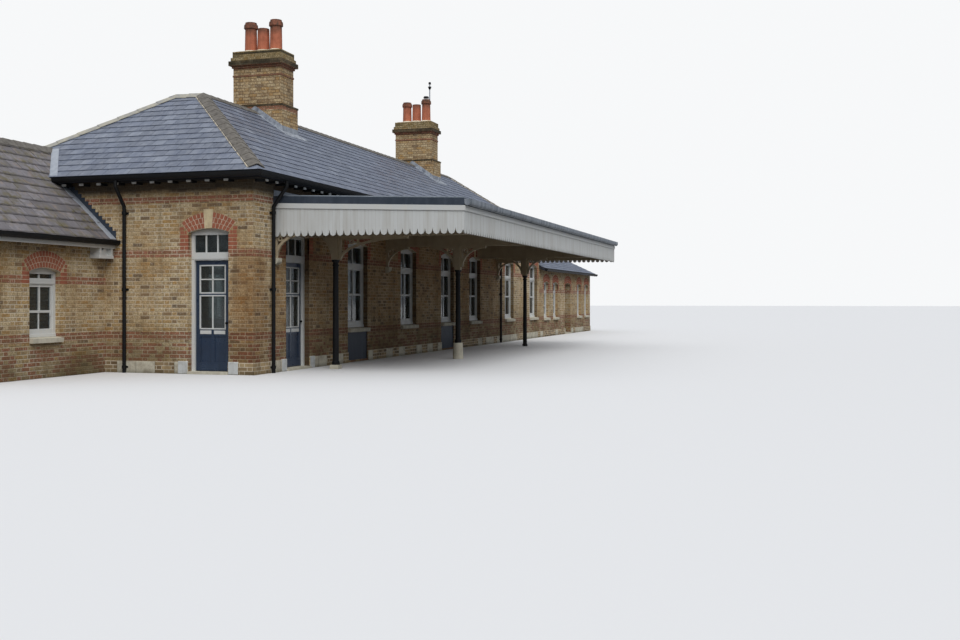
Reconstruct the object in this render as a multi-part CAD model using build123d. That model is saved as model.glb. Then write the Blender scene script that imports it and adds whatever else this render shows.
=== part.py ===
from build123d import *
from math import asin, cos, degrees, hypot, pi, radians, sin, tan
import os

# Single-storey railway station building in millimetres, +Z up. The platform side faces -Y.
# It is laid out from the near platform-side corner of the main walls, at ground level,
# and moved at the end so that its origin is the middle of its underside.

# Main range and rear wing
wall_t = 330
main_len = 24000
main_depth = 5900
wing_len = main_depth
wing_out = 740
floor_top = 50

# Main roof
eave_out = 300
eave_z = 4140
roof_pitch = 34.6
roof_t = 145
cap_w = 170
cap_t = 38

# Annex at the near end
annex_len = 3900
annex_width = 3140
annex_wall_t = 230
annex_ridge_in = 1140
annex_ridge_z = 4900
annex_pitch = 43
annex_eave_out = 250
annex_verge = 120
annex_roof_t = 120

# Extension at the far end
ext_len = 10700
ext_depth = 3800
ext_wall_t = 300
ext_eave_out = 250
ext_eave_z = 2860
ext_pitch = 25
ext_verge = 120
ext_roof_t = 120

# Openings, outer face to frame, and the parts that fill them
reveal = 120
frame_w = 70
frame_d = 100
bar_h = 120
head_spring = 2880
head_rise = 100
ring_h = 330
ring_in = 112
ring_foot_out = 165
ring_foot_up = 200
key_w = 225
key_in = 130
key_up = 60
glass_t = 8
win_w = 1230
win_sill = 850
win_bar_z = 2320
meet_z = 1665
sash_w = 50
sash_d = 60
sill_h = 110
sill_out = 80
panel_t = 60
panel_in = 90

# Doors that open
door_bar_z = 2350
end_door_y = 1035
end_door_w = 930
plat_door_x = 1995
plat_door_w = 1130
door_spring = 2920
door_rise = 85
leaf_t = 45
leaf_gap = 8
hinge_gap = 5
stile_w = 95
glass_low = 930
glass_high = 2240
glass_mid = 1615
panel_low = 250
panel_high = 780
panel_sink = 14
step_out = 60
hinge_r = 7.5
hinge_pin_r = 4
hinge_h = 100
hinge_leaf_w = 34
hinge_leaf_t = 3
hinge_seat = 8
hinge_run = 0.3
hinge_heights = (330, 1180, 2080)

# Windows along each side, by the distance of their middle along the wall
front_windows = tuple(main_len * part for part in (0.2208, 0.3688, 0.5104, 0.6292, 0.8083, 0.9604))
panelled_windows = (front_windows[0], front_windows[2])
rear_first = wing_len + 2300
rear_step = (main_len - 3400 - rear_first) / 4
rear_windows = tuple(rear_first + i * rear_step for i in range(5))
wing_windows = (1700, wing_len - 1700)
ext_windows = tuple(main_len + far for far in (1300, 3000, 8000, 9750))
ext_win_w = 900
ext_spring = 2250
ext_sill = 800
ext_rise = 80
ext_bar_z = 1830
ext_meet_z = 1300
ext_door_x = main_len + 5500
ext_door_w = 1200
annex_window_x = -1900
annex_spring = 2080

# Plinth
plinth_h = 250
plinth_out = 25

# Chimney stacks, both across the main ridge
stack_x = (wing_len + 15, main_len - 6550)
stack_top = (8000, 7960)
stack_w = 730
stack_d = 1360
stack_base_out = 85
stack_base_z = 6540
corbel_h = 62
corbel_out = 32
oversail_h = 115
oversail_out = 95
cap_block_h = 255
shoulder_h = 95
shoulder_out = 52
string_z = 660
string_h = 45
string_out = 14
pot_r = 163
pot_pitch = 365
pot_heights = ((820, 640, 845), (760, 670, 840))
collar_r = 184
collar_h = 175
pot_wall = 25
mast_r = 20
mast_top = 9500

# Canopy
can_x0 = 840
can_x1 = main_len - 6150
can_out = 4220
can_wall_z = 3710
can_front_z = 3560
deck_t = 70
purlin_h = 200
purlin_w = 75
purlin_count = 6
beam_h = 360
beam_w = 130
valance_t = 24
valance_z = 2850
scallop = 160
scallop_notch = 26
notch_up = 60
rail_h = 105
rail_t = 20
flash_h = 150
flash_t = 28
columns = ((2450, 700), (7200, 2000), (can_x1 - 2450, 1650))
shaft_r = 70
cap_heights = (2420, 2310, 2340)
block_w = 200
head_w = 150
spandrel_t = 60
spandrel_rib = 55
spandrel_leg = 60
base_kinds = ("block", "drum", "plain")
head_flares = (250, 0, 0)
drum_h = 420
drum_r = 140
long_reach = 1650
arm_reach = 680
arm_fall = 540
wall_reach = 620
wall_fall = 520
corbel_w = 190
corbel_d = 115
corbel_t = 150

# Rainwater goods
gutter_r = 62
gutter_t = 6
gutter_lip = 40
canopy_lip = 70
pipe_r = 38
pipe_gap = 0.3
front_pipes = (can_x0 - 90, can_x1 + 210)

# Flat sides and chords that stand in for rounds
turn_sides = 12
barrel_sides = 10
head_chords = 6
lobe_chords = 4
rib_chords = 6
bowl_chords = 6

rise = tan(radians(roof_pitch))
ridge_y = main_depth / 2
ridge_z = eave_z + (ridge_y + eave_out) * rise
wing_depth = main_depth + wing_out
annex_y = wing_depth - annex_width
annex_ridge_y = wing_depth - annex_ridge_in
end_pipe_y = annex_y - 500
far_eave = main_len + eave_out
rear_eave = main_depth + eave_out
wing_eave = wing_depth + eave_out
wing_side = wing_len + eave_out
wing_ridge_x = wing_len / 2
wing_ridge_end = wing_ridge_x + wing_out
far_ridge_x = main_len - ridge_y
beam_under = can_front_z - deck_t - purlin_h - beam_h
gutter_z = eave_z - roof_t / 2
inner = main_depth - wall_t
wing_inner = wing_depth - wall_t
front_eave_y = -eave_out
annex_rise = tan(radians(annex_pitch))
ext_rise_rate = tan(radians(ext_pitch))
ext_ridge_y = ext_depth / 2
ext_ridge_z = ext_eave_z + (ext_ridge_y + ext_eave_out) * ext_rise_rate
ext_end = main_len + ext_len
high = 20000


def block(x0, x1, y0, y1, z0, z1):
    """A box between two corners."""
    return Pos((x0 + x1) / 2, (y0 + y1) / 2, (z0 + z1) / 2) * Box(x1 - x0, y1 - y0, z1 - z0)


def slab(points, thickness, up=-1):
    """A flat polygon in space carried straight down or up."""
    return extrude(make_face(Polyline(*points, close=True)), amount=thickness, dir=(0, 0, up))


def drop(points, by):
    return [(x, y, z - by) for x, y, z in points]


def polygon(points):
    return make_face(Polyline(*points, close=True))


def arc_points(half, low, top, count):
    """Chords of an arc over an opening, from its right end over its crown to its left end."""
    radius = (half**2 + (top - low) ** 2) / (2 * (top - low))
    reach = asin(half / radius)
    turns = [reach * (1 - 2 * i / count) for i in range(count + 1)]
    return [(radius * sin(a), top - radius + radius * cos(a)) for a in turns]


def bow(wide, deep, start, end, count):
    """Points round part of an ellipse about the origin, between two angles in degrees."""
    turns = [radians(start + (end - start) * i / count) for i in range(count + 1)]
    return [(wide * cos(a), deep * sin(a)) for a in turns]


def turned(points, sides=turn_sides):
    """A piece turned about its upright axis, with flat sides, from radii and heights along its profile."""
    def ring(radius, z):
        return [(radius * cos(2 * pi * k / sides), radius * sin(2 * pi * k / sides), z) for k in range(sides)]
    rings = [ring(radius, z) for radius, z in points]
    faces = [polygon(rings[0]), polygon(rings[-1])]
    for low, high in zip(rings, rings[1:]):
        faces += [polygon((low[k - 1], low[k], high[k], high[k - 1])) for k in range(sides)]
    return Solid(Shell(faces))


# Placing things on a wall: local x along the wall, local y inwards from its outer face
def on_front(x):
    return Location((x, 0, 0))


def on_end(y):
    return Location((0, y, 0), (0, 0, -90))


def on_rear(x, y=main_depth):
    return Location((x, y, 0), (0, 0, 180))


# Main roof slopes, as the corners of their upper faces
corner = {
    "front_near": (-eave_out, front_eave_y, eave_z),
    "front_far": (far_eave, front_eave_y, eave_z),
    "rear_far": (far_eave, rear_eave, eave_z),
    "valley_foot": (wing_side, rear_eave, eave_z),
    "wing_far": (wing_side, wing_eave, eave_z),
    "wing_near": (-eave_out, wing_eave, eave_z),
    "ridge_near": (wing_ridge_x, ridge_y, ridge_z),
    "ridge_far": (far_ridge_x, ridge_y, ridge_z),
    "wing_ridge": (wing_ridge_x, wing_ridge_end, ridge_z),
}
slopes = {
    "front_slope": ("front_near", "front_far", "ridge_far", "ridge_near"),
    "near_end_slope": ("front_near", "ridge_near", "wing_ridge", "wing_near"),
    "rear_slope": ("ridge_near", "ridge_far", "rear_far", "valley_foot"),
    "far_end_slope": ("front_far", "rear_far", "ridge_far"),
    "wing_rear_slope": ("wing_near", "wing_ridge", "wing_far"),
    "wing_inner_slope": ("ridge_near", "valley_foot", "wing_far", "wing_ridge"),
}


def slope_points(name):
    return [corner[key] for key in slopes[name]]


def over_main_roof():
    """All the space above the underside of the main roof."""
    return [slab(drop(slope_points(name), roof_t), high, up=1) for name in slopes]


def annex_z(y):
    return annex_ridge_z - abs(y - annex_ridge_y) * annex_rise


def annex_slope(y_eave, x0=-annex_len - annex_verge, x1=2500):
    return [
        (x0, y_eave, annex_z(y_eave)),
        (x1, y_eave, annex_z(y_eave)),
        (x1, annex_ridge_y, annex_ridge_z),
        (x0, annex_ridge_y, annex_ridge_z),
    ]


annex_front_eave = annex_y - annex_eave_out
annex_rear_eave = wing_depth + 200


def ext_slope(front):
    """One slope of the extension roof."""
    y_eave = -ext_eave_out if front else ext_depth + ext_eave_out
    x0, x1 = main_len, ext_end + ext_verge
    return [
        (x0, y_eave, ext_eave_z),
        (x1, y_eave, ext_eave_z),
        (x1, ext_ridge_y, ext_ridge_z),
        (x0, ext_ridge_y, ext_ridge_z),
    ]


# Openings
def head_face(width, low, spring, head, grow=0):
    """The outline of an opening with a shallow arched head, in the XZ plane."""
    half = width / 2 - grow
    crown = arc_points(half, spring, spring + head - grow, head_chords)
    return Plane.XZ * polygon([(-half, low + grow), (half, low + grow)] + crown)


def inwards(face, y0, y1):
    """Carries an outline of the XZ plane from one depth in the wall to another."""
    return Pos(0, y1, 0) * extrude(face, amount=y1 - y0)


def hole(width, low, spring, head):
    return inwards(head_face(width, low, spring, head), -10, wall_t + 10)


def arch_ring(width, spring, head, depth=ring_in):
    """Rubbed brick arch, between the opening's head and a steeper arc that starts wider and higher."""
    crown = arc_points(width / 2, spring, spring + head, head_chords)
    outer = arc_points(width / 2 + ring_foot_out, spring + ring_foot_up, spring + head + ring_h, head_chords)
    return inwards(Plane.XZ * polygon(crown + outer[::-1]), 0, depth)


def keystone(width, spring, head):
    """Tapered stone at the crown of the arch, cut below to the opening's head."""
    low, top = spring, spring + head + ring_h + key_up
    half = key_w / 2
    shape = Plane.XZ * polygon([(-half * 0.66, low), (half * 0.66, low), (half, top), (-half, top)])
    return inwards(shape - head_face(width, low - wall_t, spring, head), 0, key_in)


def opening_frame(width, low, spring, head, bar_z):
    """Timber frame of an opening, with its transom."""
    outer = head_face(width, low, spring, head)
    outer -= head_face(width, low, spring, head, grow=frame_w)
    bar = Plane.XZ * Pos(0, bar_z + bar_h / 2) * Rectangle(width - frame_w, bar_h)
    return inwards(outer + bar, reveal, reveal + frame_d)


def lights(width, low, bar_z, meet):
    """The glazed areas of the two sashes: outlines in the XZ plane."""
    glazed = width - 2 * (frame_w + sash_w)
    spans = ((low + frame_w + sash_w, meet - sash_w / 2), (meet + sash_w / 2, bar_z - sash_w))
    return [Plane.XZ * Pos(0, (z0 + z1) / 2) * Rectangle(glazed, z1 - z0) for z0, z1 in spans]


def sashes(width, low, bar_z, meet):
    """The two sliding sashes below the transom, shut, as one fixed frame."""
    z0, z1 = low + frame_w, bar_z
    ring = Plane.XZ * Pos(0, (z0 + z1) / 2) * Rectangle(width - 2 * frame_w, z1 - z0)
    for light in lights(width, low, bar_z, meet):
        ring -= light
    y0 = reveal + (frame_d - sash_d) / 2
    return inwards(ring, y0, y0 + sash_d)


def panes(width, low, spring, head, bar_z, meet):
    """Glass of the sashes and of the light above the transom."""
    y0 = reveal + frame_d / 2 - glass_t / 2
    top = head_face(width, bar_z + bar_h - frame_w, spring, head, grow=frame_w)
    return [inwards(face, y0, y0 + glass_t) for face in lights(width, low, bar_z, meet) + [top]]


def sill(width, low):
    """Projecting stone sill with a weathered top."""
    side = polygon([(-sill_out, low - sill_h), (reveal, low - sill_h), (reveal, low), (-sill_out, low - 22)])
    return extrude(Plane.YZ * side, amount=width / 2, both=True)


def window_at(place, width, low, spring, head, bar_z, meet, kit):
    """Adds one whole window to the lists of like pieces."""
    kit["frames"].append(place * opening_frame(width, low, spring, head, bar_z))
    kit["sashes"].append(place * sashes(width, low, bar_z, meet))
    kit["glass"] += [place * pane for pane in panes(width, low, spring, head, bar_z, meet)]
    kit["sills"].append(place * sill(width, low))
    kit["arches"].append(place * arch_ring(width, spring, head))
    kit["holes"].append(place * hole(width, low - sill_h, spring, head))


# Walls
def bevelled(wall, roof):
    """A wall cut to the underside of the roof that it carries."""
    for space in roof:
        wall -= space
    return wall


def without(shape, tools):
    """A shape less those of the tools that its box meets."""
    box = shape.bounding_box()
    for tool in tools:
        other = tool.bounding_box()
        apart = (
            other.min.X >= box.max.X or other.max.X <= box.min.X
            or other.min.Y >= box.max.Y or other.max.Y <= box.min.Y
        )
        if not apart:
            shape -= tool
    return shape


def cut_wall(wall, roof, kit):
    """A wall under its roof, with its openings and the seats of its arches and keystones."""
    return without(bevelled(wall, roof), kit["holes"] + kit["arches"] + kit["keys"])


# Chimneys
def chimney(x, top):
    """Brick stack with a wider base, two string courses, corbels, an oversailing course and a cap."""
    def ring(z0, z1, out):
        hx, hy = stack_w / 2 + out, stack_d / 2 + out
        return block(x - hx, x + hx, ridge_y - hy, ridge_y + hy, z0, z1)
    over_top = top - cap_block_h
    over_low = over_top - oversail_h
    string = top - string_z
    body = ring(floor_top, stack_base_z, stack_base_out)
    body += ring(stack_base_z, over_low - corbel_h, 0)
    body += ring(stack_base_z, stack_base_z + string_h, stack_base_out + string_out)
    body += ring(string, string + string_h, string_out)
    body += ring(over_low - corbel_h, over_low, corbel_out)
    body += ring(over_low, over_top, oversail_out)
    body += ring(over_top, over_top + shoulder_h, shoulder_out)
    body += ring(over_top + shoulder_h, top, corbel_out / 2)
    return body


def pot(height, collared):
    """Terracotta flue pot, open at the top."""
    rim = pot_r * 0.93
    points = [(pot_r, 0)]
    if collared:
        points += [(rim, height - collar_h), (collar_r, height - collar_h + 18)]
        points += [(collar_r - 6, height - 55), (rim, height - 40), (rim, height)]
    else:
        points += [(rim, height)]
    return turned(points + [(rim - pot_wall, height), (rim - pot_wall, height - 350)])


def pots(x, top, heights):
    made = []
    for i, height in enumerate(heights):
        y = ridge_y + (1 - i) * pot_pitch
        made.append(Pos(x, y, top) * pot(height, collared=i != 1))
    return made


# Canopy
def can_z(y, below=0):
    """Height of the canopy's sloping top at a distance y out from the wall, less a depth."""
    return can_wall_z + (can_front_z - can_wall_z) * y / can_out - below


def sloped_bar(x0, x1, y0, y1, top_off, low_off):
    """A bar of the canopy whose top and bottom follow its slope; y counts out from the wall."""
    side = polygon([(-y0, can_z(y0, top_off)), (-y1, can_z(y1, top_off)),
                    (-y1, can_z(y1, low_off)), (-y0, can_z(y0, low_off))])
    return Pos(x0, 0, 0) * extrude(Plane.YZ * side, amount=x1 - x0)


def scalloped(length, top_a, top_b):
    """Valance board in the XZ plane: a straight top and a row of scallops with pointed notches."""
    count = max(1, round(length / scallop))
    step = length / count
    lobe_r = (step - scallop_notch) / 2
    low = valance_z + lobe_r
    lobe = bow(lobe_r, lobe_r, 180, 360, lobe_chords)
    edge = [(0, top_a), (0, low)]
    for i in range(count):
        edge += [((i + 0.5) * step + x, low + z) for x, z in lobe]
        if i < count - 1:
            edge.append(((i + 1) * step, low + notch_up))
    return polygon(edge + [(length, low), (length, top_b)])


def front_valance():
    face = Plane.XZ * scalloped(can_x1 - can_x0, can_front_z - flash_h, can_front_z - flash_h)
    return Pos(can_x0, -can_out + valance_t, 0) * extrude(face, amount=valance_t)


def end_valance(x):
    """Valance across one end, from the wall to the front board."""
    run = can_out - valance_t
    face = scalloped(run, can_z(0, flash_h), can_z(run, flash_h))
    board = extrude(Plane.XZ * face, amount=valance_t)
    return Location((x, 0, 0), (0, 0, -90)) * Pos(0, valance_t, 0) * board


def column(kind, cap_z):
    """Round cast-iron shaft on its base, with a moulded cap, as one turned piece."""
    neck = shaft_r * 0.86
    foot = {"block": 90, "drum": drum_h, "plain": 0}[kind]
    points = [(shaft_r * 1.25, foot), (shaft_r * 1.25, foot + 60), (shaft_r, foot + 90)]
    points += [(neck, cap_z - 150), (neck * 1.25, cap_z - 140), (neck * 1.25, cap_z - 115)]
    points += [(neck, cap_z - 105), (neck, cap_z - 60), (shaft_r * 1.3, cap_z - 25), (shaft_r * 1.3, cap_z)]
    return turned(points)


def column_base(kind):
    if kind == "block":
        return block(-block_w / 2, block_w / 2, -block_w / 2, block_w / 2, 0, 90)
    return turned([(drum_r, 0), (drum_r * 0.92, drum_h)])


def column_head(low, top, flare):
    """Boxed timber capital in the YZ plane, flaring out on the wall's side by a given width."""
    half = head_w / 2
    parts = [i / bowl_chords for i in range(bowl_chords + 1)] if flare else [0, 1]
    side = [(half + flare * part**2, low + (top - low) * part) for part in parts]
    face = polygon(side + [(-half, top), (-half, low)])
    return extrude(Plane.YZ * face, amount=half, both=True)


def spandrel(reach, fall):
    """Cast bracket in the XZ plane: two legs, a curved rib between them and struts behind it.
    Its corner is at the origin, one leg runs down and the other along +X."""
    def curve(inset):
        points = bow(reach - inset, fall - inset, 180, 90, rib_chords)
        return [(reach + x, z - fall) for x, z in points]
    leg = spandrel_leg
    legs = Pos(leg / 2, -fall / 2) * Rectangle(leg, fall)
    legs += Pos(reach / 2, -leg / 2) * Rectangle(reach, leg)
    rib = polygon(curve(0) + curve(spandrel_rib)[::-1])
    behind = polygon([(reach, 0), (0, 0), (0, -fall)] + curve(spandrel_rib / 2))
    strut_len = hypot(reach, fall) * 0.36
    angle = -degrees(asin(fall / hypot(reach, fall)))
    strut = Rot(0, 0, angle) * Pos(strut_len / 2 + leg / 3, 0) * Rectangle(strut_len, spandrel_rib * 0.6)
    eye_at, size = 0.17, min(reach, fall)
    middle = Pos(reach * eye_at + leg * 0.4, -fall * eye_at - leg * 0.4)
    eye = middle * RegularPolygon(size * 0.11, barrel_sides)
    face = legs + rib + (strut & behind) + eye - middle * RegularPolygon(size * 0.065, barrel_sides)
    return extrude(Plane.XZ * face, amount=spandrel_t / 2, both=True)


# Rainwater goods
def gutter_section(lip):
    """Round-bottomed gutter, open upwards. The origin is the centre of its round."""
    def bowl(radius):
        return [(-radius, lip)] + bow(radius, radius, 180, 360, bowl_chords) + [(radius, lip)]
    return polygon(bowl(gutter_r) + bowl(gutter_r - gutter_t)[::-1])


def straight_gutter(x0, x1, y, z, outwards, lip=gutter_lip):
    """A gutter along X outside an eave at y; outwards is -1 on the platform side."""
    section = Plane.YZ * Pos(y + outwards * gutter_r, z) * gutter_section(lip)
    return Pos(x0, 0, 0) * extrude(section, amount=x1 - x0)


def gutter_ring():
    """The gutter round the whole main eave: runs cut on the mitre and joined at the corners."""
    out = eave_out + gutter_r
    corners = [
        (-out, -out), (main_len + out, -out), (main_len + out, main_depth + out),
        (wing_len + out, main_depth + out), (wing_len + out, wing_depth + out), (-out, wing_depth + out),
    ]
    count = len(corners)
    ring = None
    for i in range(count):
        run = gutter_run(corners[i], corners[(i + 1) % count], corners[i - 1], corners[(i + 2) % count])
        ring = run if ring is None else ring + run
    return ring


def gutter_run(start, end, before, after):
    """One run of the main gutter, cut where it meets its neighbours."""
    length = hypot(end[0] - start[0], end[1] - start[1])
    ux, uy = (end[0] - start[0]) / length, (end[1] - start[1]) / length
    reach = 3 * gutter_r
    first = (start[0] - ux * reach, start[1] - uy * reach, gutter_z)
    side = Plane(origin=first, x_dir=(-uy, ux, 0), z_dir=(ux, uy, 0))
    body = extrude(side * gutter_section(gutter_lip), amount=length + 2 * reach)
    for at, other, sign in ((start, before, -1), (end, after, 1)):
        size = hypot(other[0] - at[0], other[1] - at[1])
        vx, vy = (other[0] - at[0]) / size, (other[1] - at[1]) / size
        mitre = Plane(origin=(at[0], at[1], gutter_z), z_dir=(sign * ux + vx, sign * uy + vy, 0))
        body -= mitre * Pos(0, 0, reach * 2) * Box(reach * 8, reach * 8, reach * 4)
    return body


def downpipe(top_z, out):
    """Round pipe down the wall, with a swan neck out to the gutter, in the YZ plane at x = 0.
    The wall's face is at y = 0, and the pipe stands in front of the plinth."""
    y = -pipe_r - plinth_out - pipe_gap
    path = Polyline((0, y, 0), (0, y, top_z - out - 160), (0, -out, top_z - 120), (0, -out, top_z))
    section = Plane.XY * Pos(0, y) * RegularPolygon(pipe_r, barrel_sides)
    return sweep(section, path=path, transition=Transition.RIGHT)


def caps(p0, p1, side_a, side_b):
    """Ridge or hip tiles: a strip on each of the two slopes that meet along the line p0 to p1."""
    made = None
    for side in (side_a, side_b):
        strip = [p0, p1, tuple(b + s for b, s in zip(p1, side)), tuple(b + s for b, s in zip(p0, side))]
        piece = slab(strip, cap_t, up=1)
        made = piece if made is None else made + piece
    return made


def ridge_caps():
    """Ridge runs between the stacks, the wing ridge and the five hips."""
    down = cap_w * rise
    front, rear = (0, -cap_w, -down), (0, cap_w, -down)
    near_x = [corner["ridge_near"][0]] + [x + stack_w / 2 + stack_base_out for x in stack_x]
    far_x = [x - stack_w / 2 - stack_base_out for x in stack_x] + [corner["ridge_far"][0]]
    made = [caps((a, ridge_y, ridge_z), (b, ridge_y, ridge_z), front, rear) for a, b in zip(near_x, far_x)]
    near, inner_side = (-cap_w, 0, -down), (cap_w, 0, -down)
    made.append(caps(corner["ridge_near"], corner["wing_ridge"], near, inner_side))
    along, across = (cap_w * 1.3, 0, 0), (0, cap_w * 1.3, 0)
    back, left = (0, -cap_w * 1.3, 0), (-cap_w * 1.3, 0, 0)
    made.append(caps(corner["front_near"], corner["ridge_near"], along, across))
    made.append(caps(corner["wing_near"], corner["wing_ridge"], along, back))
    made.append(caps(corner["wing_far"], corner["wing_ridge"], left, back))
    made.append(caps(corner["front_far"], corner["ridge_far"], left, across))
    made.append(caps(corner["rear_far"], corner["ridge_far"], left, back))
    whole = made[0]
    for piece in made[1:]:
        whole += piece
    return whole


# Doors
def leaf(width, low, top):
    """Door leaf, hung on its left edge: two glazed lights above, panels below."""
    face = Pos(width / 2, (low + top) / 2) * Rectangle(width, top - low)
    inner_w = width - 2 * stile_w
    for z0, z1 in ((glass_low, glass_mid), (glass_mid + stile_w * 0.6, glass_high)):
        face -= Pos(width / 2, (z0 + z1) / 2) * Rectangle(inner_w, z1 - z0)
    body = inwards(Plane.XZ * face, 0, leaf_t)
    panel_w = (inner_w - stile_w * 0.8) / 2
    for i in (0, 1):
        x0 = stile_w + i * (panel_w + stile_w * 0.8)
        body -= block(x0, x0 + panel_w, -1, panel_sink, panel_low, panel_high)
    return body


def leaf_glass(width):
    """Panes of the leaf, set in the middle of its thickness."""
    inner_w = width - 2 * stile_w
    y0 = (leaf_t - glass_t) / 2
    return [block(stile_w, stile_w + inner_w, y0, y0 + glass_t, z0, z1)
            for z0, z1 in ((glass_low, glass_mid), (glass_mid + stile_w * 0.6, glass_high))]


def door_frame(width):
    """Posts, transom and arched head of a doorway, with its fanlight above the transom."""
    low = floor_top
    outer = head_face(width, low, door_spring, door_rise)
    light = head_face(width, door_bar_z + bar_h - frame_w, door_spring, door_rise, grow=frame_w)
    way = Plane.XZ * Pos(0, (low + door_bar_z) / 2) * Rectangle(width - 2 * frame_w, door_bar_z - low)
    return inwards(outer - light - way, reveal, reveal + frame_d)


def fanlight(width):
    light = head_face(width, door_bar_z + bar_h - frame_w, door_spring, door_rise, grow=frame_w)
    y0 = reveal + frame_d / 2 - glass_t / 2
    return inwards(light, y0, y0 + glass_t)


def threshold(width, depth):
    return block(-width / 2, width / 2, -step_out, depth, 0, floor_top)


def plinth_run(a, b, place):
    return place * block(a, b, -plinth_out, 0, 0, plinth_h)


def all_windows(kit):
    """Every window of the building, and the recessed aprons under two of them."""
    tall = (win_w, win_sill, head_spring, head_rise, win_bar_z, meet_z)
    low = (ext_win_w, ext_sill, ext_spring, ext_rise, ext_bar_z, ext_meet_z)
    places = [on_front(x) for x in front_windows] + [on_rear(x) for x in rear_windows]
    places += [on_rear(x, wing_depth) for x in wing_windows]
    for place in places:
        window_at(place, *tall, kit)
    for place in [on_front(x) for x in ext_windows]:
        window_at(place, *low, kit)
    window_at(Location((annex_window_x, annex_y, 0)), ext_win_w, ext_sill, annex_spring, ext_rise, ext_bar_z,
              ext_meet_z, kit)
    for x in panelled_windows:
        half, top = win_w / 2, win_sill - sill_h
        kit["holes"].append(on_front(x) * block(-half, half, -10, panel_in, floor_top, top))
        kit["aprons"].append(on_front(x) * block(-half, half, panel_in - panel_t, panel_in, floor_top, top))
    kit["keys"] += [on_front(x) * keystone(win_w, head_spring, head_rise) for x in front_windows]


def all_doorways(kit):
    """The two doorways that open and the open doorway of the extension."""
    for place, width in doorways:
        kit["arches"].append(place * arch_ring(width, door_spring, door_rise))
        kit["keys"].append(place * keystone(width, door_spring, door_rise))
        kit["holes"].append(place * hole(width, -10, door_spring, door_rise))
        kit["steps"].append(place * threshold(width, wall_t))
    kit["arches"].append(ext_doorway * arch_ring(ext_door_w, ext_spring, ext_rise))
    kit["holes"].append(ext_doorway * hole(ext_door_w, -10, ext_spring, ext_rise))
    kit["steps"].append(ext_doorway * threshold(ext_door_w, ext_wall_t))


def main_walls(kit):
    """Main walls, split beside and over the two doorways."""
    roof, top = over_main_roof(), ridge_z
    pier = block(0, plat_a, 0, wall_t, 0, top) + block(0, wall_t, 0, end_a, 0, top)
    walls = {
        "corner_pier": pier,
        "front_wall": block(plat_b, main_len, 0, wall_t, 0, top),
        "end_wall": block(0, wall_t, end_b, wing_depth, 0, top),
        "wing_rear_wall": block(wall_t, wing_len, wing_inner, wing_depth, 0, top),
        "wing_side_wall": block(wing_len - wall_t, wing_len, inner, wing_inner, 0, top),
        "rear_wall": block(wing_len, main_len, inner, main_depth, 0, top),
        "far_end_wall": block(main_len - wall_t, main_len, wall_t, inner, 0, top),
    }
    return {name: cut_wall(wall, roof, kit) for name, wall in walls.items()}


def walls_over_doors(kit):
    """The pieces of wall above the three doorways."""
    roof = over_main_roof()
    return [
        cut_wall(block(plat_a, plat_b, 0, wall_t, door_spring, ridge_z), roof, kit),
        cut_wall(block(0, wall_t, end_a, end_b, door_spring, ridge_z), roof, kit),
        cut_wall(block(ext_a, ext_b, 0, ext_wall_t, ext_spring, ridge_z), over_ext_roof(), kit),
    ]


def over_annex_roof():
    pair = (annex_slope(annex_front_eave), annex_slope(annex_rear_eave))
    return [slab(drop(points, annex_roof_t), high, up=1) for points in pair]


def over_ext_roof():
    return [slab(drop(ext_slope(front), ext_roof_t), high, up=1) for front in (True, False)]


def annex(kit):
    """Low annex against the near end wall. Its roof runs on over the eave behind it."""
    x0, x1 = -annex_len, -annex_len + annex_wall_t
    back = wing_depth - annex_wall_t
    front = block(x1, 0, annex_y, annex_y + annex_wall_t, 0, ridge_z)
    rear = block(x1, 0, back, wing_depth, 0, ridge_z)
    gable = block(x0, x1, annex_y, wing_depth, 0, ridge_z)
    roof = over_annex_roof()
    parts = {
        "annex_side_walls": [cut_wall(wall, roof, kit) for wall in (front, rear)],
        "annex_gable_wall": cut_wall(gable, roof, kit),
    }
    eave_slab = slab(slope_points("near_end_slope"), roof_t)
    indoors = block(0, high, -high, high, 0, high)
    below = [slab(slope_points(name), high) & indoors for name in ("near_end_slope", "wing_rear_slope")]
    for name, eave in (("annex_front_slope", annex_front_eave), ("annex_rear_slope", annex_rear_eave)):
        body = slab(annex_slope(eave), annex_roof_t) - eave_slab
        for space in below:
            body -= space
        parts[name] = body
    return parts


def extension(kit):
    """Low extension beyond the far end wall."""
    back = ext_depth - ext_wall_t
    roof = over_ext_roof()
    gable = block(ext_end - ext_wall_t, ext_end, ext_wall_t, back, 0, ridge_z)
    sides = [block(a, b, 0, ext_wall_t, 0, ridge_z) for a, b in ((main_len, ext_a), (ext_b, ext_end))]
    sides.append(block(main_len, ext_end, back, ext_depth, 0, ridge_z))
    return {
        "extension_side_walls": [cut_wall(wall, roof, kit) for wall in sides],
        "extension_gable_wall": cut_wall(gable, roof, kit),
        "extension_front_slope": slab(ext_slope(True), ext_roof_t),
        "extension_rear_slope": slab(ext_slope(False), ext_roof_t),
    }


def floors():
    """Ground floor of the range and wing, of the extension and of the annex."""
    main = block(wall_t, main_len - wall_t, wall_t, inner, 0, floor_top)
    main += block(wall_t, wing_len - wall_t, inner, wing_inner, 0, floor_top)
    ext = block(main_len, ext_end - ext_wall_t, ext_wall_t, ext_depth - ext_wall_t, 0, floor_top)
    low = block(-annex_len + annex_wall_t, 0, annex_y + annex_wall_t, wing_depth - annex_wall_t, 0, floor_top)
    return [main, ext, low]


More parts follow.
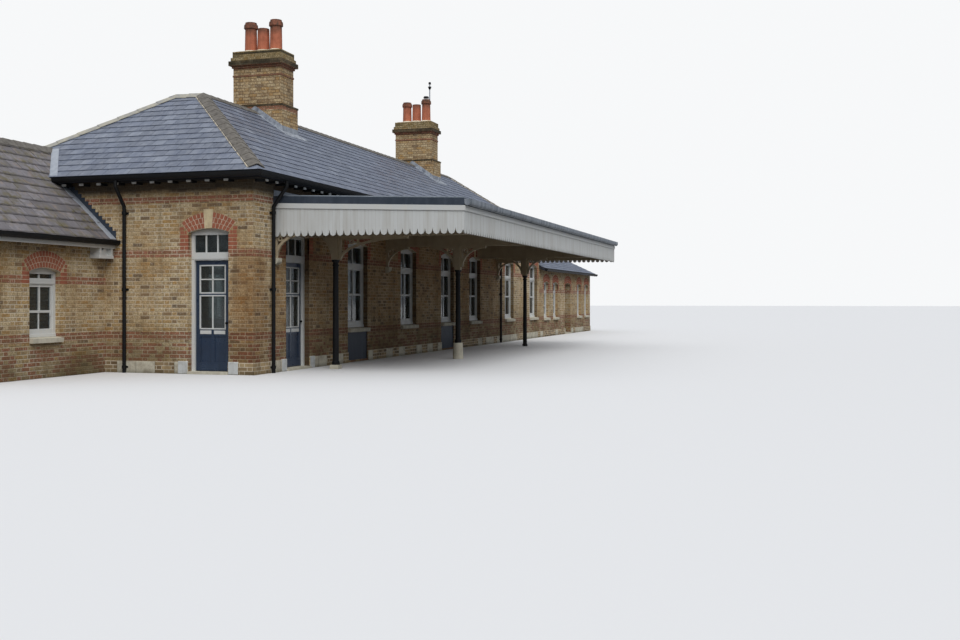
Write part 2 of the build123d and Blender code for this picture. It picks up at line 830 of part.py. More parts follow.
def roof_and_stacks():
    """Main slopes cut round the two stacks, the stacks with their pots, and the mast."""
    parts = {}
    stacks = [chimney(x, z) for x, z in zip(stack_x, stack_top)]
    for name in slopes:
        body = slab(slope_points(name), roof_t)
        if name in ("front_slope", "rear_slope"):
            for stack in stacks:
                body -= stack
        parts[name] = body
    parts["near_chimney"], parts["far_chimney"] = stacks
    parts["chimney_pots"] = [
        flue for x, z, heights in zip(stack_x, stack_top, pot_heights) for flue in pots(x, z, heights)
    ]
    mast_x, mast_foot = stack_x[1] + stack_w / 2 - 2 * mast_r, stack_top[1]
    mast = extrude(RegularPolygon(mast_r, barrel_sides), amount=mast_top - mast_foot)
    parts["aerial_mast"] = Pos(mast_x, ridge_y - pot_pitch - mast_r, mast_foot) * mast
    return parts


def all_caps():
    """Ridge and hip tiles of the three roofs."""
    x0, x1 = -annex_len - annex_verge, ext_end + ext_verge
    main = ridge_caps()
    for name in slopes:
        main -= slab(slope_points(name), roof_t)
    over_annex = caps((x0, annex_ridge_y, annex_ridge_z), (0, annex_ridge_y, annex_ridge_z),
                      (0, -cap_w, -cap_w * annex_rise), (0, cap_w, -cap_w * annex_rise))
    over_annex -= slab(slope_points("near_end_slope"), roof_t)
    over_ext = caps((main_len, ext_ridge_y, ext_ridge_z), (x1, ext_ridge_y, ext_ridge_z),
                    (0, -cap_w, -cap_w * ext_rise_rate), (0, cap_w, -cap_w * ext_rise_rate))
    return [main, over_annex, over_ext]


def plinth():
    """Dressed stone plinth, between the openings of the platform and end walls."""
    stops = [(plat_door_x, plat_door_w)] + [(x, win_w) for x in panelled_windows]
    edges = [0] + [edge for x, w in stops for edge in (x - w / 2, x + w / 2)] + [ext_a]
    runs = [plinth_run(a, b, on_front(0)) for a, b in zip(edges[::2], edges[1::2])]
    runs.append(plinth_run(ext_b, ext_end, on_front(0)))
    runs.append(plinth_run(-annex_y, -end_b, on_end(0)))
    runs[0] += plinth_run(-end_a, plinth_out, on_end(0))
    return runs


def hung_doors():
    """The two leaves with their glass, closed. Each is hung on the left edge seen from outside."""
    parts = {}
    fixed = []
    for name, (place, width) in zip(("platform_door", "end_door"), doorways):
        leaf_w = width - 2 * frame_w - hinge_gap - leaf_gap
        stand = place * Pos(-width / 2 + frame_w + hinge_gap, reveal + frame_d - leaf_t, 0)
        axis = place * Pos(-width / 2 + frame_w + hinge_gap / 2, reveal + frame_d + hinge_seat, 0)
        body = stand * leaf(leaf_w, floor_top + leaf_gap, door_bar_z - leaf_gap)
        for z in hinge_heights:
            smooth = z == hinge_heights[1]
            body += axis * Pos(0, 0, z) * moving_hinge(smooth)
            fixed.append(axis * Pos(0, 0, z) * fixed_hinge(smooth))
        parts[name] = body
        parts[name + "_glass"] = [stand * pane for pane in leaf_glass(leaf_w)]
        print("hinge", name, [round(v, 3) for v in axis.position])
    parts["door_hinges"] = fixed
    return parts


def hinge_plate(side):
    """Flap of a butt hinge on the inner face of the leaf (side 1) or of the frame (side -1)."""
    near, far = hinge_r + hinge_run, hinge_r + hinge_run + hinge_leaf_w
    x0, x1 = sorted((side * near, side * far))
    return block(x0, x1, -hinge_seat, -hinge_seat + hinge_leaf_t, 0, hinge_h)


def knuckle(side, z0, z1):
    """One knuckle round the pin, joined to its flap."""
    x0, x1 = sorted((0, side * (hinge_r + hinge_run + 1)))
    return (Pos(0, 0, z0) * extrude(RegularPolygon(hinge_r, barrel_sides), amount=z1 - z0)
            + block(x0, x1, -hinge_seat, -hinge_seat + hinge_leaf_t, z0, z1))


def pin_rod(radius, smooth):
    """A pin, or the bore round it: truly round in the middle hinge of a door, with flat sides in the others."""
    return extrude(Circle(radius) if smooth else RegularPolygon(radius, barrel_sides), amount=hinge_h)


def fixed_hinge(smooth):
    """The frame's flap, with the lower and upper knuckles and the pin between them."""
    third = hinge_h / 3
    body = hinge_plate(-1) + knuckle(-1, 0, third - hinge_run) + knuckle(-1, 2 * third + hinge_run, hinge_h)
    return body + pin_rod(hinge_pin_r, smooth)


def moving_hinge(smooth):
    """The leaf's flap and its knuckle, bored for the pin."""
    third = hinge_h / 3
    return hinge_plate(1) + knuckle(1, third, 2 * third) - pin_rod(hinge_pin_r + hinge_run, smooth)


def canopy_roof():
    """Deck on purlins and cross beams, edged with lead, valance boards and a rail."""
    deep = deck_t + purlin_h
    ends = [can_x0 + valance_t + beam_w / 2, can_x1 - valance_t - beam_w / 2]
    beam_x = ends[:1] + [x for x, out in columns] + ends[1:]
    last = can_out - flash_t - purlin_w
    x0, x1 = can_x0 + flash_t, can_x1 - flash_t
    flashing = sloped_bar(can_x0, can_x1, 0, can_out, 0, flash_h)
    flashing -= block(x0, x1, -can_out + flash_t, 10, 0, high)
    rail = sloped_bar(can_x0 - rail_t, can_x1 + rail_t, 0, can_out + rail_t, flash_h, flash_h + rail_h)
    rail -= block(can_x0, can_x1, -can_out, 10, 0, high)
    return {
        "canopy_deck": sloped_bar(x0, x1, 0, can_out - flash_t, 0, deck_t),
        "canopy_purlins": [
            sloped_bar(x0, x1, y, y + purlin_w, deck_t, deep)
            for y in [last * i / (purlin_count - 1) for i in range(purlin_count)]
        ],
        "canopy_cross_beams": [cross_beam(x, deep) for x in beam_x],
        "canopy_flashings": flashing,
        "valance_rail": rail,
        "front_valance": front_valance(),
        "end_valances": [end_valance(can_x0), end_valance(can_x1 - valance_t)],
    }


def cross_beam(x, top_off):
    """Beam from the wall to the front, level below and sloping with the roof above."""
    out = can_out - valance_t
    side = polygon([(0, beam_under), (-out, beam_under), (-out, can_z(out, top_off)), (0, can_z(0, top_off))])
    return Pos(x - beam_w / 2, 0, 0) * extrude(Plane.YZ * side, amount=beam_w)


def canopy_supports():
    """Columns with their bases, capitals and curved arms, and the brackets on the wall."""
    shafts, bases, heads, arms, corbels = [], [], [], [], []
    half = head_w / 2
    for (x, out), kind, flare, cap_z in zip(columns, base_kinds, head_flares, cap_heights):
        foot = Pos(x, -out, 0)
        shafts.append(foot * column(kind, cap_z))
        if kind != "plain":
            bases.append(foot * column_base(kind))
        heads.append(foot * column_head(cap_z, beam_under, flare))
        arm = spandrel(long_reach if flare else arm_reach, min(arm_fall, beam_under - cap_z))
        arms.append(Location((x, -out - half, beam_under), (0, 0, -90)) * arm)
        if not flare:
            arms.append(Location((x, -out + half, beam_under), (0, 0, 90)) * arm)
    for x in (can_x0 + valance_t + beam_w / 2, columns[1][0], can_x1 - valance_t - beam_w / 2):
        arms.append(Location((x, 0, beam_under), (0, 0, -90)) * spandrel(wall_reach, wall_fall))
        corbels.append(Pos(x, 0, beam_under - wall_fall) * corbel())
    return {
        "canopy_columns": shafts,
        "column_bases": bases,
        "column_heads": heads,
        "spandrel_brackets": arms,
        "bracket_corbels": corbels,
    }


def corbel():
    """Stone under a wall bracket, rounded below. Its top is at z = 0 and its back at y = 0."""
    straight = corbel_t * 0.35
    curve = [(y, z - straight) for y, z in bow(corbel_d, corbel_t - straight, 180, 270, bowl_chords)]
    return extrude(Plane.YZ * polygon([(0, 0), (-corbel_d, 0)] + curve), amount=corbel_w / 2, both=True)


def rainwater():
    """Gutters of the four roofs and the pipes down the main walls."""
    low = gutter_z - gutter_r
    clear = (annex_ridge_z - low) / annex_rise
    behind = block(-high, 0, annex_ridge_y - clear - pipe_gap, annex_ridge_y + clear + pipe_gap, 0, high)
    main = gutter_ring() - behind
    annex_x = (-annex_len - annex_verge, 0)
    ext_x = (main_len, ext_end + ext_verge)
    ext_z = ext_eave_z - ext_roof_t / 2
    gutters = [
        main,
        straight_gutter(*annex_x, annex_front_eave, annex_z(annex_front_eave) - annex_roof_t / 2, -1),
        straight_gutter(*annex_x, annex_rear_eave, annex_z(annex_rear_eave) - annex_roof_t / 2, 1),
        straight_gutter(*ext_x, -ext_eave_out, ext_z, -1),
        straight_gutter(*ext_x, ext_depth + ext_eave_out, ext_z, 1),
        straight_gutter(can_x0, can_x1, -can_out, can_front_z - flash_h + gutter_r + pipe_gap, -1, canopy_lip),
    ]
    out = eave_out + gutter_r
    pipe = downpipe(low - pipe_gap, out)
    pipes = [on_front(x) * pipe for x in front_pipes] + [on_end(end_pipe_y) * pipe]
    return {"gutters": gutters, "downpipes": pipes}


doorways = ((on_front(plat_door_x), plat_door_w), (on_end(end_door_y), end_door_w))
ext_doorway = on_front(ext_door_x)
plat_a, plat_b = plat_door_x - plat_door_w / 2, plat_door_x + plat_door_w / 2
end_a, end_b = end_door_y - end_door_w / 2, end_door_y + end_door_w / 2
ext_a, ext_b = ext_door_x - ext_door_w / 2, ext_door_x + ext_door_w / 2


def build():
    """Every sub-part, by name."""
    kit = {key: [] for key in ("frames", "sashes", "glass", "sills", "arches", "keys", "holes", "aprons", "steps")}
    all_windows(kit)
    all_doorways(kit)
    parts = main_walls(kit)
    parts["walls_over_doors"] = walls_over_doors(kit)
    parts["ground_floor"] = floors()
    parts |= annex(kit)
    parts |= extension(kit)
    parts |= roof_and_stacks()
    parts["ridge_and_hip_tiles"] = all_caps()
    parts["window_frames"] = kit["frames"]
    parts["window_sashes"] = kit["sashes"]
    parts["window_glass"] = kit["glass"] + [place * fanlight(width) for place, width in doorways]
    parts["window_sills"] = kit["sills"]
    parts["window_aprons"] = kit["aprons"]
    parts["brick_arches"] = [without(ring, kit["keys"]) for ring in kit["arches"]]
    parts["keystones"] = kit["keys"]
    parts["thresholds"] = kit["steps"]
    parts["stone_plinth"] = plinth()
    parts["door_frames"] = [place * door_frame(width) for place, width in doorways]
    parts |= hung_doors()
    parts |= canopy_roof()
    parts |= canopy_supports()
    parts |= rainwater()
    return parts


def write(parts):
    """Moves the whole building over its origin and writes one file for each sub-part."""
    groups = {name: made if isinstance(made, list) else [made] for name, made in parts.items()}
    whole = Compound([solid for made in groups.values() for shape in made for solid in shape.solids()])
    box = whole.bounding_box()
    shift = Pos(-(box.min.X + box.max.X) / 2, -(box.min.Y + box.max.Y) / 2, -box.min.Z)
    print("shift", [round(v, 3) for v in shift.position], "size", box.size)
    os.makedirs("parts", exist_ok=True)
    for name, made in groups.items():
        solids = [solid for shape in made for solid in shape.solids()]
        shape = solids[0] if len(solids) == 1 else Compound(solids)
        export_step(shift * shape, f"parts/{name}.step")


write(build())
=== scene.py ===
import math
import bpy
from bpy.props import FloatProperty, FloatVectorProperty, PointerProperty
from mathutils import Matrix, Vector


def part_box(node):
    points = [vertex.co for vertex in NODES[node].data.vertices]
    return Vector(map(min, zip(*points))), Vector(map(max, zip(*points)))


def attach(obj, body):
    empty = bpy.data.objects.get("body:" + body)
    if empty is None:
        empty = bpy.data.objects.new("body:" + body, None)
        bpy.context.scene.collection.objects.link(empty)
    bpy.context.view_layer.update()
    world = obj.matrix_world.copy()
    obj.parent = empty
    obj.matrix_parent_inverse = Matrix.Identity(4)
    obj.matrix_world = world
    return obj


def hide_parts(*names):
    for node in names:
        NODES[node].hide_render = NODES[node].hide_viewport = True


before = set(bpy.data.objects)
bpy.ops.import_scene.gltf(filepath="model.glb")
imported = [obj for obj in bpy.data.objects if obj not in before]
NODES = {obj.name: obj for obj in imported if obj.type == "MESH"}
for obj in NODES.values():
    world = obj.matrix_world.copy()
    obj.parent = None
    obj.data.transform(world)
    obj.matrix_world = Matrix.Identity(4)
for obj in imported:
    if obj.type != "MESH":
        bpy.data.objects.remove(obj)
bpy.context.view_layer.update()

bl_info = {
    "name": "Station building dressing",
    "version": (1, 0, 0),
    "blender": (4, 5, 0),
    "location": "3D View > Sidebar > Station",
    "description": "Brickwork, slates, joinery and ironwork of a railway station building",
    "category": "Object",
}

# The near front corner of the main walls, at ground level
CORNER = Vector((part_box("end_wall")[0][0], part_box("front_wall")[0][1], 0))
ON = "building"
PITCH = math.radians(34.6)
EAVE_Z, EAVE_OUT, RUN = 4.14, 0.3, 3.25
MAIN_LEN, MAIN_DEPTH, WING_LEN, WING_DEPTH = 24.0, 5.9, 5.9, 6.64
RIDGE_Z = EAVE_Z + RUN * math.tan(PITCH)
EAVE_UNDER = EAVE_Z - 0.145
ANNEX_PITCH = math.radians(43)
ANNEX_RIDGE_Y, ANNEX_RIDGE_Z = 5.5, 4.9
ANNEX_EAVE_Y, ANNEX_BACK_Y, ANNEX_WALL_Y, ANNEX_END = 3.25, 6.84, 3.5, -4.02
# The low extension at the far end
LOW_PITCH = math.radians(25)
LOW_RIDGE_Y, LOW_RIDGE_Z, LOW_EAVE_Z, LOW_END = 1.9, 3.862, 2.86, 34.82
PIPE_OUT = 0.0633
POT_PITCH = 0.365


def middle(node, axis=0):
    """Middle of a part of the frame, counted from the near corner of the walls."""
    low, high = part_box(node)
    return (low[axis] + high[axis]) / 2 - CORNER[axis]


def annex_z(y):
    """Height of the annex roof above a line along it."""
    return ANNEX_RIDGE_Z - abs(y - ANNEX_RIDGE_Y) * math.tan(ANNEX_PITCH)


STACKS = (middle("near_chimney"), middle("far_chimney"))
DOOR_PLACES = (("front", 1.995, 1.13), ("end", 1.035, 0.93))
FRONT_WINDOWS = [("front", MAIN_LEN * part) for part in (0.2208, 0.3688, 0.5104, 0.6292, 0.8083, 0.9604)]
BACK_WINDOWS = [("rear", x) for x in (8.2, 11.3, 14.4, 17.5, 20.6)] + [("wing", x) for x in (1.7, 4.2)]
LOW_WINDOWS = [("front", x) for x in (25.3, 27.0, 32.0, 33.75)]
ANNEX_WINDOW = [("annex", -1.9)]


def tint(red, green, blue):
    """A colour given in screen values from 0 to 255, as the renderer's own linear numbers."""
    def linear(value):
        value /= 255
        return value / 12.92 if value <= 0.04045 else ((value + 0.055) / 1.055) ** 2.4
    return linear(red), linear(green), linear(blue), 1.0


def colour(label, *value):
    return FloatVectorProperty(name=label, description=label, subtype="COLOR", size=4, min=0, max=1,
                               default=tint(*value))


def darker(value, share):
    return [part * share for part in value[:3]] + [1.0]


def length(label, value, about=None):
    return FloatProperty(name=label, description=about or label, default=value, min=0, unit="LENGTH")


class StationSizes(bpy.types.PropertyGroup):
    course: length("Brick course", 0.08, "Height of one brick and its joint")
    stretcher: length("Brick length", 0.235, "Length of one brick and its joint")
    joint: length("Brick joint", 0.013)
    slate_width: length("Slate width", 0.3)
    slate_gauge: length("Slate gauge", 0.262, "Height of a slate that shows on the slope")
    slate_tail: length("Slate tail", 0.014, "Step at the lower edge of a slate")
    hip_tile: length("Hip tile length", 0.33)
    rafter_pitch: length("Rafter spacing", 0.43)
    bar: length("Glazing bar", 0.03)
    board: length("Valance board", 0.08)
    roll_pitch: length("Canopy sheet width", 0.62)


class StationColours(bpy.types.PropertyGroup):
    buff: colour("Buff brick", 214, 194, 154)
    tan: colour("Tan brick", 190, 164, 122)
    ochre: colour("Ochre brick", 186, 146, 84)
    brown: colour("Brown brick", 146, 120, 88)
    burnt: colour("Burnt brick", 108, 92, 72)
    red: colour("Red brick", 172, 104, 78)
    mortar: colour("Mortar", 232, 220, 196)
    slate: colour("Slate", 112, 120, 138)
    slate_dark: colour("Dark slate", 86, 92, 106)
    moss: colour("Moss", 100, 92, 54)
    tile: colour("Annex tile", 132, 128, 132)
    tile_dark: colour("Dark annex tile", 80, 75, 74)
    ridge: colour("Hip tile", 118, 113, 106)
    stone: colour("Dressed stone", 214, 208, 188)
    keystone: colour("Keystone", 226, 208, 168)
    fascia: colour("Dark fascia", 44, 54, 66)
    lead: colour("Lead", 170, 176, 184)
    white: colour("White paint", 214, 216, 214)
    cream: colour("Cream paint", 190, 176, 148)
    navy: colour("Blue paint", 36, 54, 78)
    black: colour("Black paint", 8, 9, 11)
    terracotta: colour("Terracotta", 190, 112, 82)
    deck: colour("Canopy sheet", 112, 120, 128)
    floor: colour("Floor tile", 112, 88, 74)


def sizes():
    return bpy.context.scene.station_sizes


def colours():
    return bpy.context.scene.station_colours


# Modelling
def choose(*pieces):
    """Selects these pieces alone, and makes the first of them active."""
    bpy.ops.object.select_all(action="DESELECT")
    for piece in reversed(pieces):
        piece.select_set(True)
        bpy.context.view_layer.objects.active = piece


def settled():
    """The newest piece, with its place, turn and size carried into its mesh."""
    bpy.ops.object.transform_apply(location=True, rotation=True, scale=True)
    return bpy.context.object


def bar(near, far):
    """A straight length between two opposite corners."""
    choose()
    low, high = (Vector(map(pick, near, far)) for pick in (min, max))
    bpy.ops.mesh.primitive_cube_add(size=1, location=(low + high) / 2)
    bpy.context.object.scale = high - low
    return settled()


def rod(radius, depth, centre, sides=16, turn=(0, 0, 0)):
    choose()
    bpy.ops.mesh.primitive_cylinder_add(vertices=sides, radius=radius, depth=depth, location=centre, rotation=turn)
    return settled()


def tapered(foot, head, depth, centre, sides):
    """An upright round piece with one radius at its foot and another at its head."""
    choose()
    bpy.ops.mesh.primitive_cone_add(vertices=sides, radius1=foot, radius2=head, depth=depth, location=centre)
    return settled()


def joined(parts):
    choose(*parts)
    if len(parts) > 1:
        bpy.ops.object.join()
    return bpy.context.object


def edited(piece, operator, **settings):
    """Runs an edit operator on the whole of a piece."""
    choose(piece)
    bpy.ops.object.mode_set(mode="EDIT")
    bpy.ops.mesh.select_all(action="SELECT")
    operator(**settings)
    bpy.ops.object.mode_set(mode="OBJECT")
    return piece


def sliced(piece, axis, places):
    """Cuts a piece across at several places along an axis and leaves it whole."""
    across = Vector(float(axis == i) for i in range(3))
    for value in places:
        edited(piece, bpy.ops.mesh.bisect, plane_co=across * value, plane_no=across)
    return piece


def cut(piece, point, outwards):
    """Cuts off what lies beyond a plane."""
    return edited(piece, bpy.ops.mesh.bisect, plane_co=point, plane_no=outwards, use_fill=True, clear_outer=True)


def apply(piece, kind, **settings):
    """Adds a modifier to a piece and applies it."""
    choose(piece)
    modifier = piece.modifiers.new(kind.lower(), kind)
    for key, value in settings.items():
        setattr(modifier, key, value)
    bpy.ops.object.modifier_apply(modifier=modifier.name)
    return piece


def repeat(piece, count, step):
    return apply(piece, "ARRAY", count=count, use_relative_offset=False, use_constant_offset=True,
                 constant_offset_displace=step)


def placed(piece, matrix):
    """Moves a piece from its own frame into another."""
    piece.data.transform(matrix)
    if matrix.determinant() < 0:
        piece.data.flip_normals()
    return piece


def in_building(parts):
    """Moves pieces made from the near corner into the building's frame."""
    return [placed(part, Matrix.Translation(CORNER)) for part in parts]


def copy_of(piece, matrix):
    twin = piece.copy()
    twin.data = piece.data.copy()
    bpy.context.collection.objects.link(twin)
    return placed(twin, matrix)


def place(side, along):
    """A frame on a wall: x along the wall, y inwards from its outer face."""
    across = {"front": 0, "end": along, "annex": ANNEX_WALL_Y, "wing": WING_DEPTH, "rear": MAIN_DEPTH}[side]
    turn = {"end": -math.pi / 2, "wing": math.pi, "rear": math.pi}.get(side, 0)
    corner = Vector((0 if side == "end" else along, across, 0))
    return Matrix.Translation(CORNER + corner) @ Matrix.Rotation(turn, 4, "Z")


def finish(parts, name, look, bevel=0.0, body=ON):
    """Joins like parts into one named piece that rides on a body."""
    piece = joined(parts)
    if bevel:
        apply(piece, "BEVEL", width=bevel, segments=1, limit_method="ANGLE")
    piece.name = piece.data.name = name
    piece.data.materials.clear()
    piece.data.materials.append(finish_of(look))
    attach(piece, body)
    return piece


def copies(model, places):
    """Copies of a model at several places on the walls, in its stead."""
    twins = [copy_of(model, place(side, along)) for side, along in places]
    bpy.data.objects.remove(model)
    return twins


# Node trees
class Field:
    """An output of a node. Arithmetic with it adds nodes to its tree."""

    def __init__(self, socket):
        self.socket = socket

    def __add__(self, other):
        return calc("ADD", self, other)

    def __sub__(self, other):
        return calc("SUBTRACT", self, other)

    def __rsub__(self, other):
        return calc("SUBTRACT", other, self)

    def __mul__(self, other):
        return calc("MULTIPLY", self, other)

    def __truediv__(self, other):
        return calc("DIVIDE", self, other)

    def __gt__(self, other):
        return calc("GREATER_THAN", self, other)

    def __lt__(self, other):
        return calc("LESS_THAN", self, other)

    def __abs__(self):
        return calc("ABSOLUTE", self)


def fill(node, values):
    """Sets the inputs of a node, or links those that are given a field."""
    for key, value in values.items():
        if isinstance(value, Field):
            node.id_data.links.new(value.socket, node.inputs[key])
        else:
            node.inputs[key].default_value = value


def add(tree, kind, values=(), **settings):
    """Adds a node and gives its outputs as fields, by number and by name. Plain values fill inputs by number."""
    node = tree.nodes.new(kind)
    for key, value in settings.items():
        setattr(node, key, value)
    fill(node, values if isinstance(values, dict) else dict(enumerate(values)))
    return {key: Field(socket) for i, socket in enumerate(node.outputs) for key in (i, socket.name)}


def tree_of(values):
    return next(value.socket.id_data for value in values if isinstance(value, Field))


def calc(operation, *values):
    return add(tree_of(values), "ShaderNodeMath", values, operation=operation)[0]


def mix(factor, a, b, kind="MIX"):
    values = {0: factor, 6: a, 7: b}
    return add(tree_of(values.values()), "ShaderNodeMix", values, data_type="RGBA", blend_type=kind)[2]


def ramp(value, low, high, to_low=0.0, to_high=1.0):
    return add(tree_of([value]), "ShaderNodeMapRange", (value, low, high, to_low, to_high))[0]


def between(value, low, high):
    """1 where a value lies between two others."""
    return (value > low) * (value < high)


def axes(tree, kind="ShaderNodeTexCoord", output="Object"):
    """The three parts of a vector, by default of a point's place in metres."""
    return add(tree, "ShaderNodeSeparateXYZ", [add(tree, kind)[output]])


def wall_coordinates(tree):
    """Distance along a wall, and height, whichever way the wall faces."""
    at, facing = axes(tree), axes(tree, "ShaderNodeNewGeometry", "Normal")
    along = add(tree, "ShaderNodeMix", {0: abs(facing[0]) > abs(facing[1]), 2: at[0], 3: at[1]})[0]
    return along, at[2]


def new_group(name, *labels):
    """A new node group and its inputs."""
    tree = bpy.data.node_groups.new(name, "ShaderNodeTree")
    for label in labels:
        tree.interface.new_socket(label, in_out="INPUT", socket_type="NodeSocketFloat")
    inputs = tree.nodes.new("NodeGroupInput").outputs
    return tree, *(Field(inputs[label]) for label in labels)


def closed_group(tree, **values):
    """Gives a node group its outputs."""
    for label in values:
        tree.interface.new_socket(label, in_out="OUTPUT", socket_type="NodeSocketFloat")
    fill(tree.nodes.new("NodeGroupOutput"), values)
    return tree


def parts_of(value):
    """A whole number below a value, and what is left of it."""
    whole = calc("FLOOR", value)
    return whole, value - whole


def white_noise(tree, dimensions, **values):
    """A random value from 0 to 1 for each place, and a random colour's parts."""
    noise = add(tree, "ShaderNodeTexWhiteNoise", values, noise_dimensions=dimensions)
    return noise["Value"], add(tree, "ShaderNodeSeparateColor", [noise["Color"]])


def bond():
    """Flemish bond: a tone for each brick, 1 in the joints, and a second tone."""
    tree, course, stretcher, joint = new_group("brick_bond", "Course", "Length", "Joint")
    along, height = wall_coordinates(tree)
    period = stretcher * 1.5
    row, row_part = parts_of(height / course)
    pair, part = parts_of(along / period + calc("MODULO", row, 2.0) * 0.5)
    # A stretcher takes two thirds of each pair and a header the rest
    header = part > 0.667
    ends = calc("MINIMUM", calc("MINIMUM", part, 1.0 - part), abs(part - 0.667))
    nearest = calc("MINIMUM", ends * period, calc("MINIMUM", row_part, 1.0 - row_part) * course)
    half = joint * 0.5
    which = add(tree, "ShaderNodeCombineXYZ", (pair, row, header))[0]
    tone, parts = white_noise(tree, "3D", Vector=which)
    return closed_group(tree, Tone=tone, Joint=1.0 - ramp(nearest, half * 0.6, half * 1.5), Second=parts[1])


def wear():
    """Weathering: broad patches, fine speckle and streaks that run down."""
    tree, patch, speckle = new_group("weathering", "Patch", "Speckle")
    where = add(tree, "ShaderNodeTexCoord")["Object"]
    tall = add(tree, "ShaderNodeMapping", {"Vector": where, "Scale": (1.0, 1.0, 0.12)})[0]

    def noise(**values):
        return add(tree, "ShaderNodeTexNoise", values)[0]
    return closed_group(
        tree, Patches=noise(Vector=where, Scale=calc("DIVIDE", 1.0, patch), Detail=4.0, Roughness=0.62),
        Speckle=noise(Vector=where, Scale=calc("DIVIDE", 1.0, speckle), Detail=3.0),
        Streaks=noise(Vector=tall, Scale=7.0, Detail=4.0))


def slate_courses():
    """Two tones for each slate of a slope, from its place along the eave and its height."""
    tree, width, rise, start = new_group("slate_courses", "Width", "Rise", "Start")
    along, height = wall_coordinates(tree)
    row = calc("FLOOR", (height - start) / rise)
    column = calc("FLOOR", along / width + calc("MODULO", row, 2.0) * 0.5)
    tone, parts = white_noise(tree, "2D", Vector=add(tree, "ShaderNodeCombineXYZ", (column, row))[0])
    return closed_group(tree, Tone=tone, Second=parts[2])


def upright_boards():
    """Upright boards: 1 along each joint, and a tone for each board."""
    tree, width = new_group("upright_boards", "Width")
    board, part = parts_of(wall_coordinates(tree)[0] / width)
    edge = calc("MINIMUM", part, 1.0 - part) * width
    return closed_group(tree, Joint=ramp(edge, 0.001, 0.004, 1.0, 0.0), Tone=white_noise(tree, "1D", W=board)[0])


GROUPS = {}
MATERIALS = {}


def group_in(tree, build, *values):
    """A shared node group with its inputs set, as a list of its outputs."""
    if build not in GROUPS:
        GROUPS[build] = build()
    node = tree.nodes.new("ShaderNodeGroup")
    node.node_tree = GROUPS[build]
    fill(node, dict(enumerate(values)))
    return [Field(socket) for socket in node.outputs]


def material(name):
    made = bpy.data.materials.new(name)
    made.use_nodes = True
    return made, made.node_tree


def surface(made, face, height, strength, distance, **inputs):
    """Gives a material its colour, its relief and its shader's other inputs."""
    tree = made.node_tree
    bump = add(tree, "ShaderNodeBump", {"Strength": strength, "Distance": distance, "Height": height})[0]
    inputs = {key.replace("_", " "): value for key, value in inputs.items()}
    fill(tree.nodes["Principled BSDF"], {"Base Color": face, "Normal": bump, **inputs})
    return made


def recess(tree):
    """1 on the sides of the openings in the front wall, where painted shade darkens the reveals."""
    at, facing = axes(tree), axes(tree, "ShaderNodeNewGeometry", "True Normal")
    sideways = (abs(facing[0]) > 0.9) * (at[0] > CORNER.x + 0.4)
    return sideways * between(at[1], CORNER.y + 0.004, CORNER.y + 0.326)


def near_corner(tree):
    """Share of the ochre tint at the near corner, low down: partly a real stain on the pier, partly painted shadow
    on the wall beside it.
    """
    at = axes(tree)
    off = calc("MAXIMUM", abs(at[0] - CORNER.x), abs(at[1] - CORNER.y))
    return ramp(off, 0.35, 0.75, 0.55, 0.0) * ramp(at[2], 2.3, 2.6, 1.0, 0.0)


def canopy_shade(tree):
    """Share of painted shade on the front wall under the canopy, fading towards its foot."""
    at = axes(tree)
    across = between(at[0], CORNER.x + 0.9, CORNER.x + 17.8) * between(at[1], CORNER.y - 0.1, CORNER.y + 0.2)
    return across * ramp(at[2], 0.2, 3.4, 0.35, 1.0)


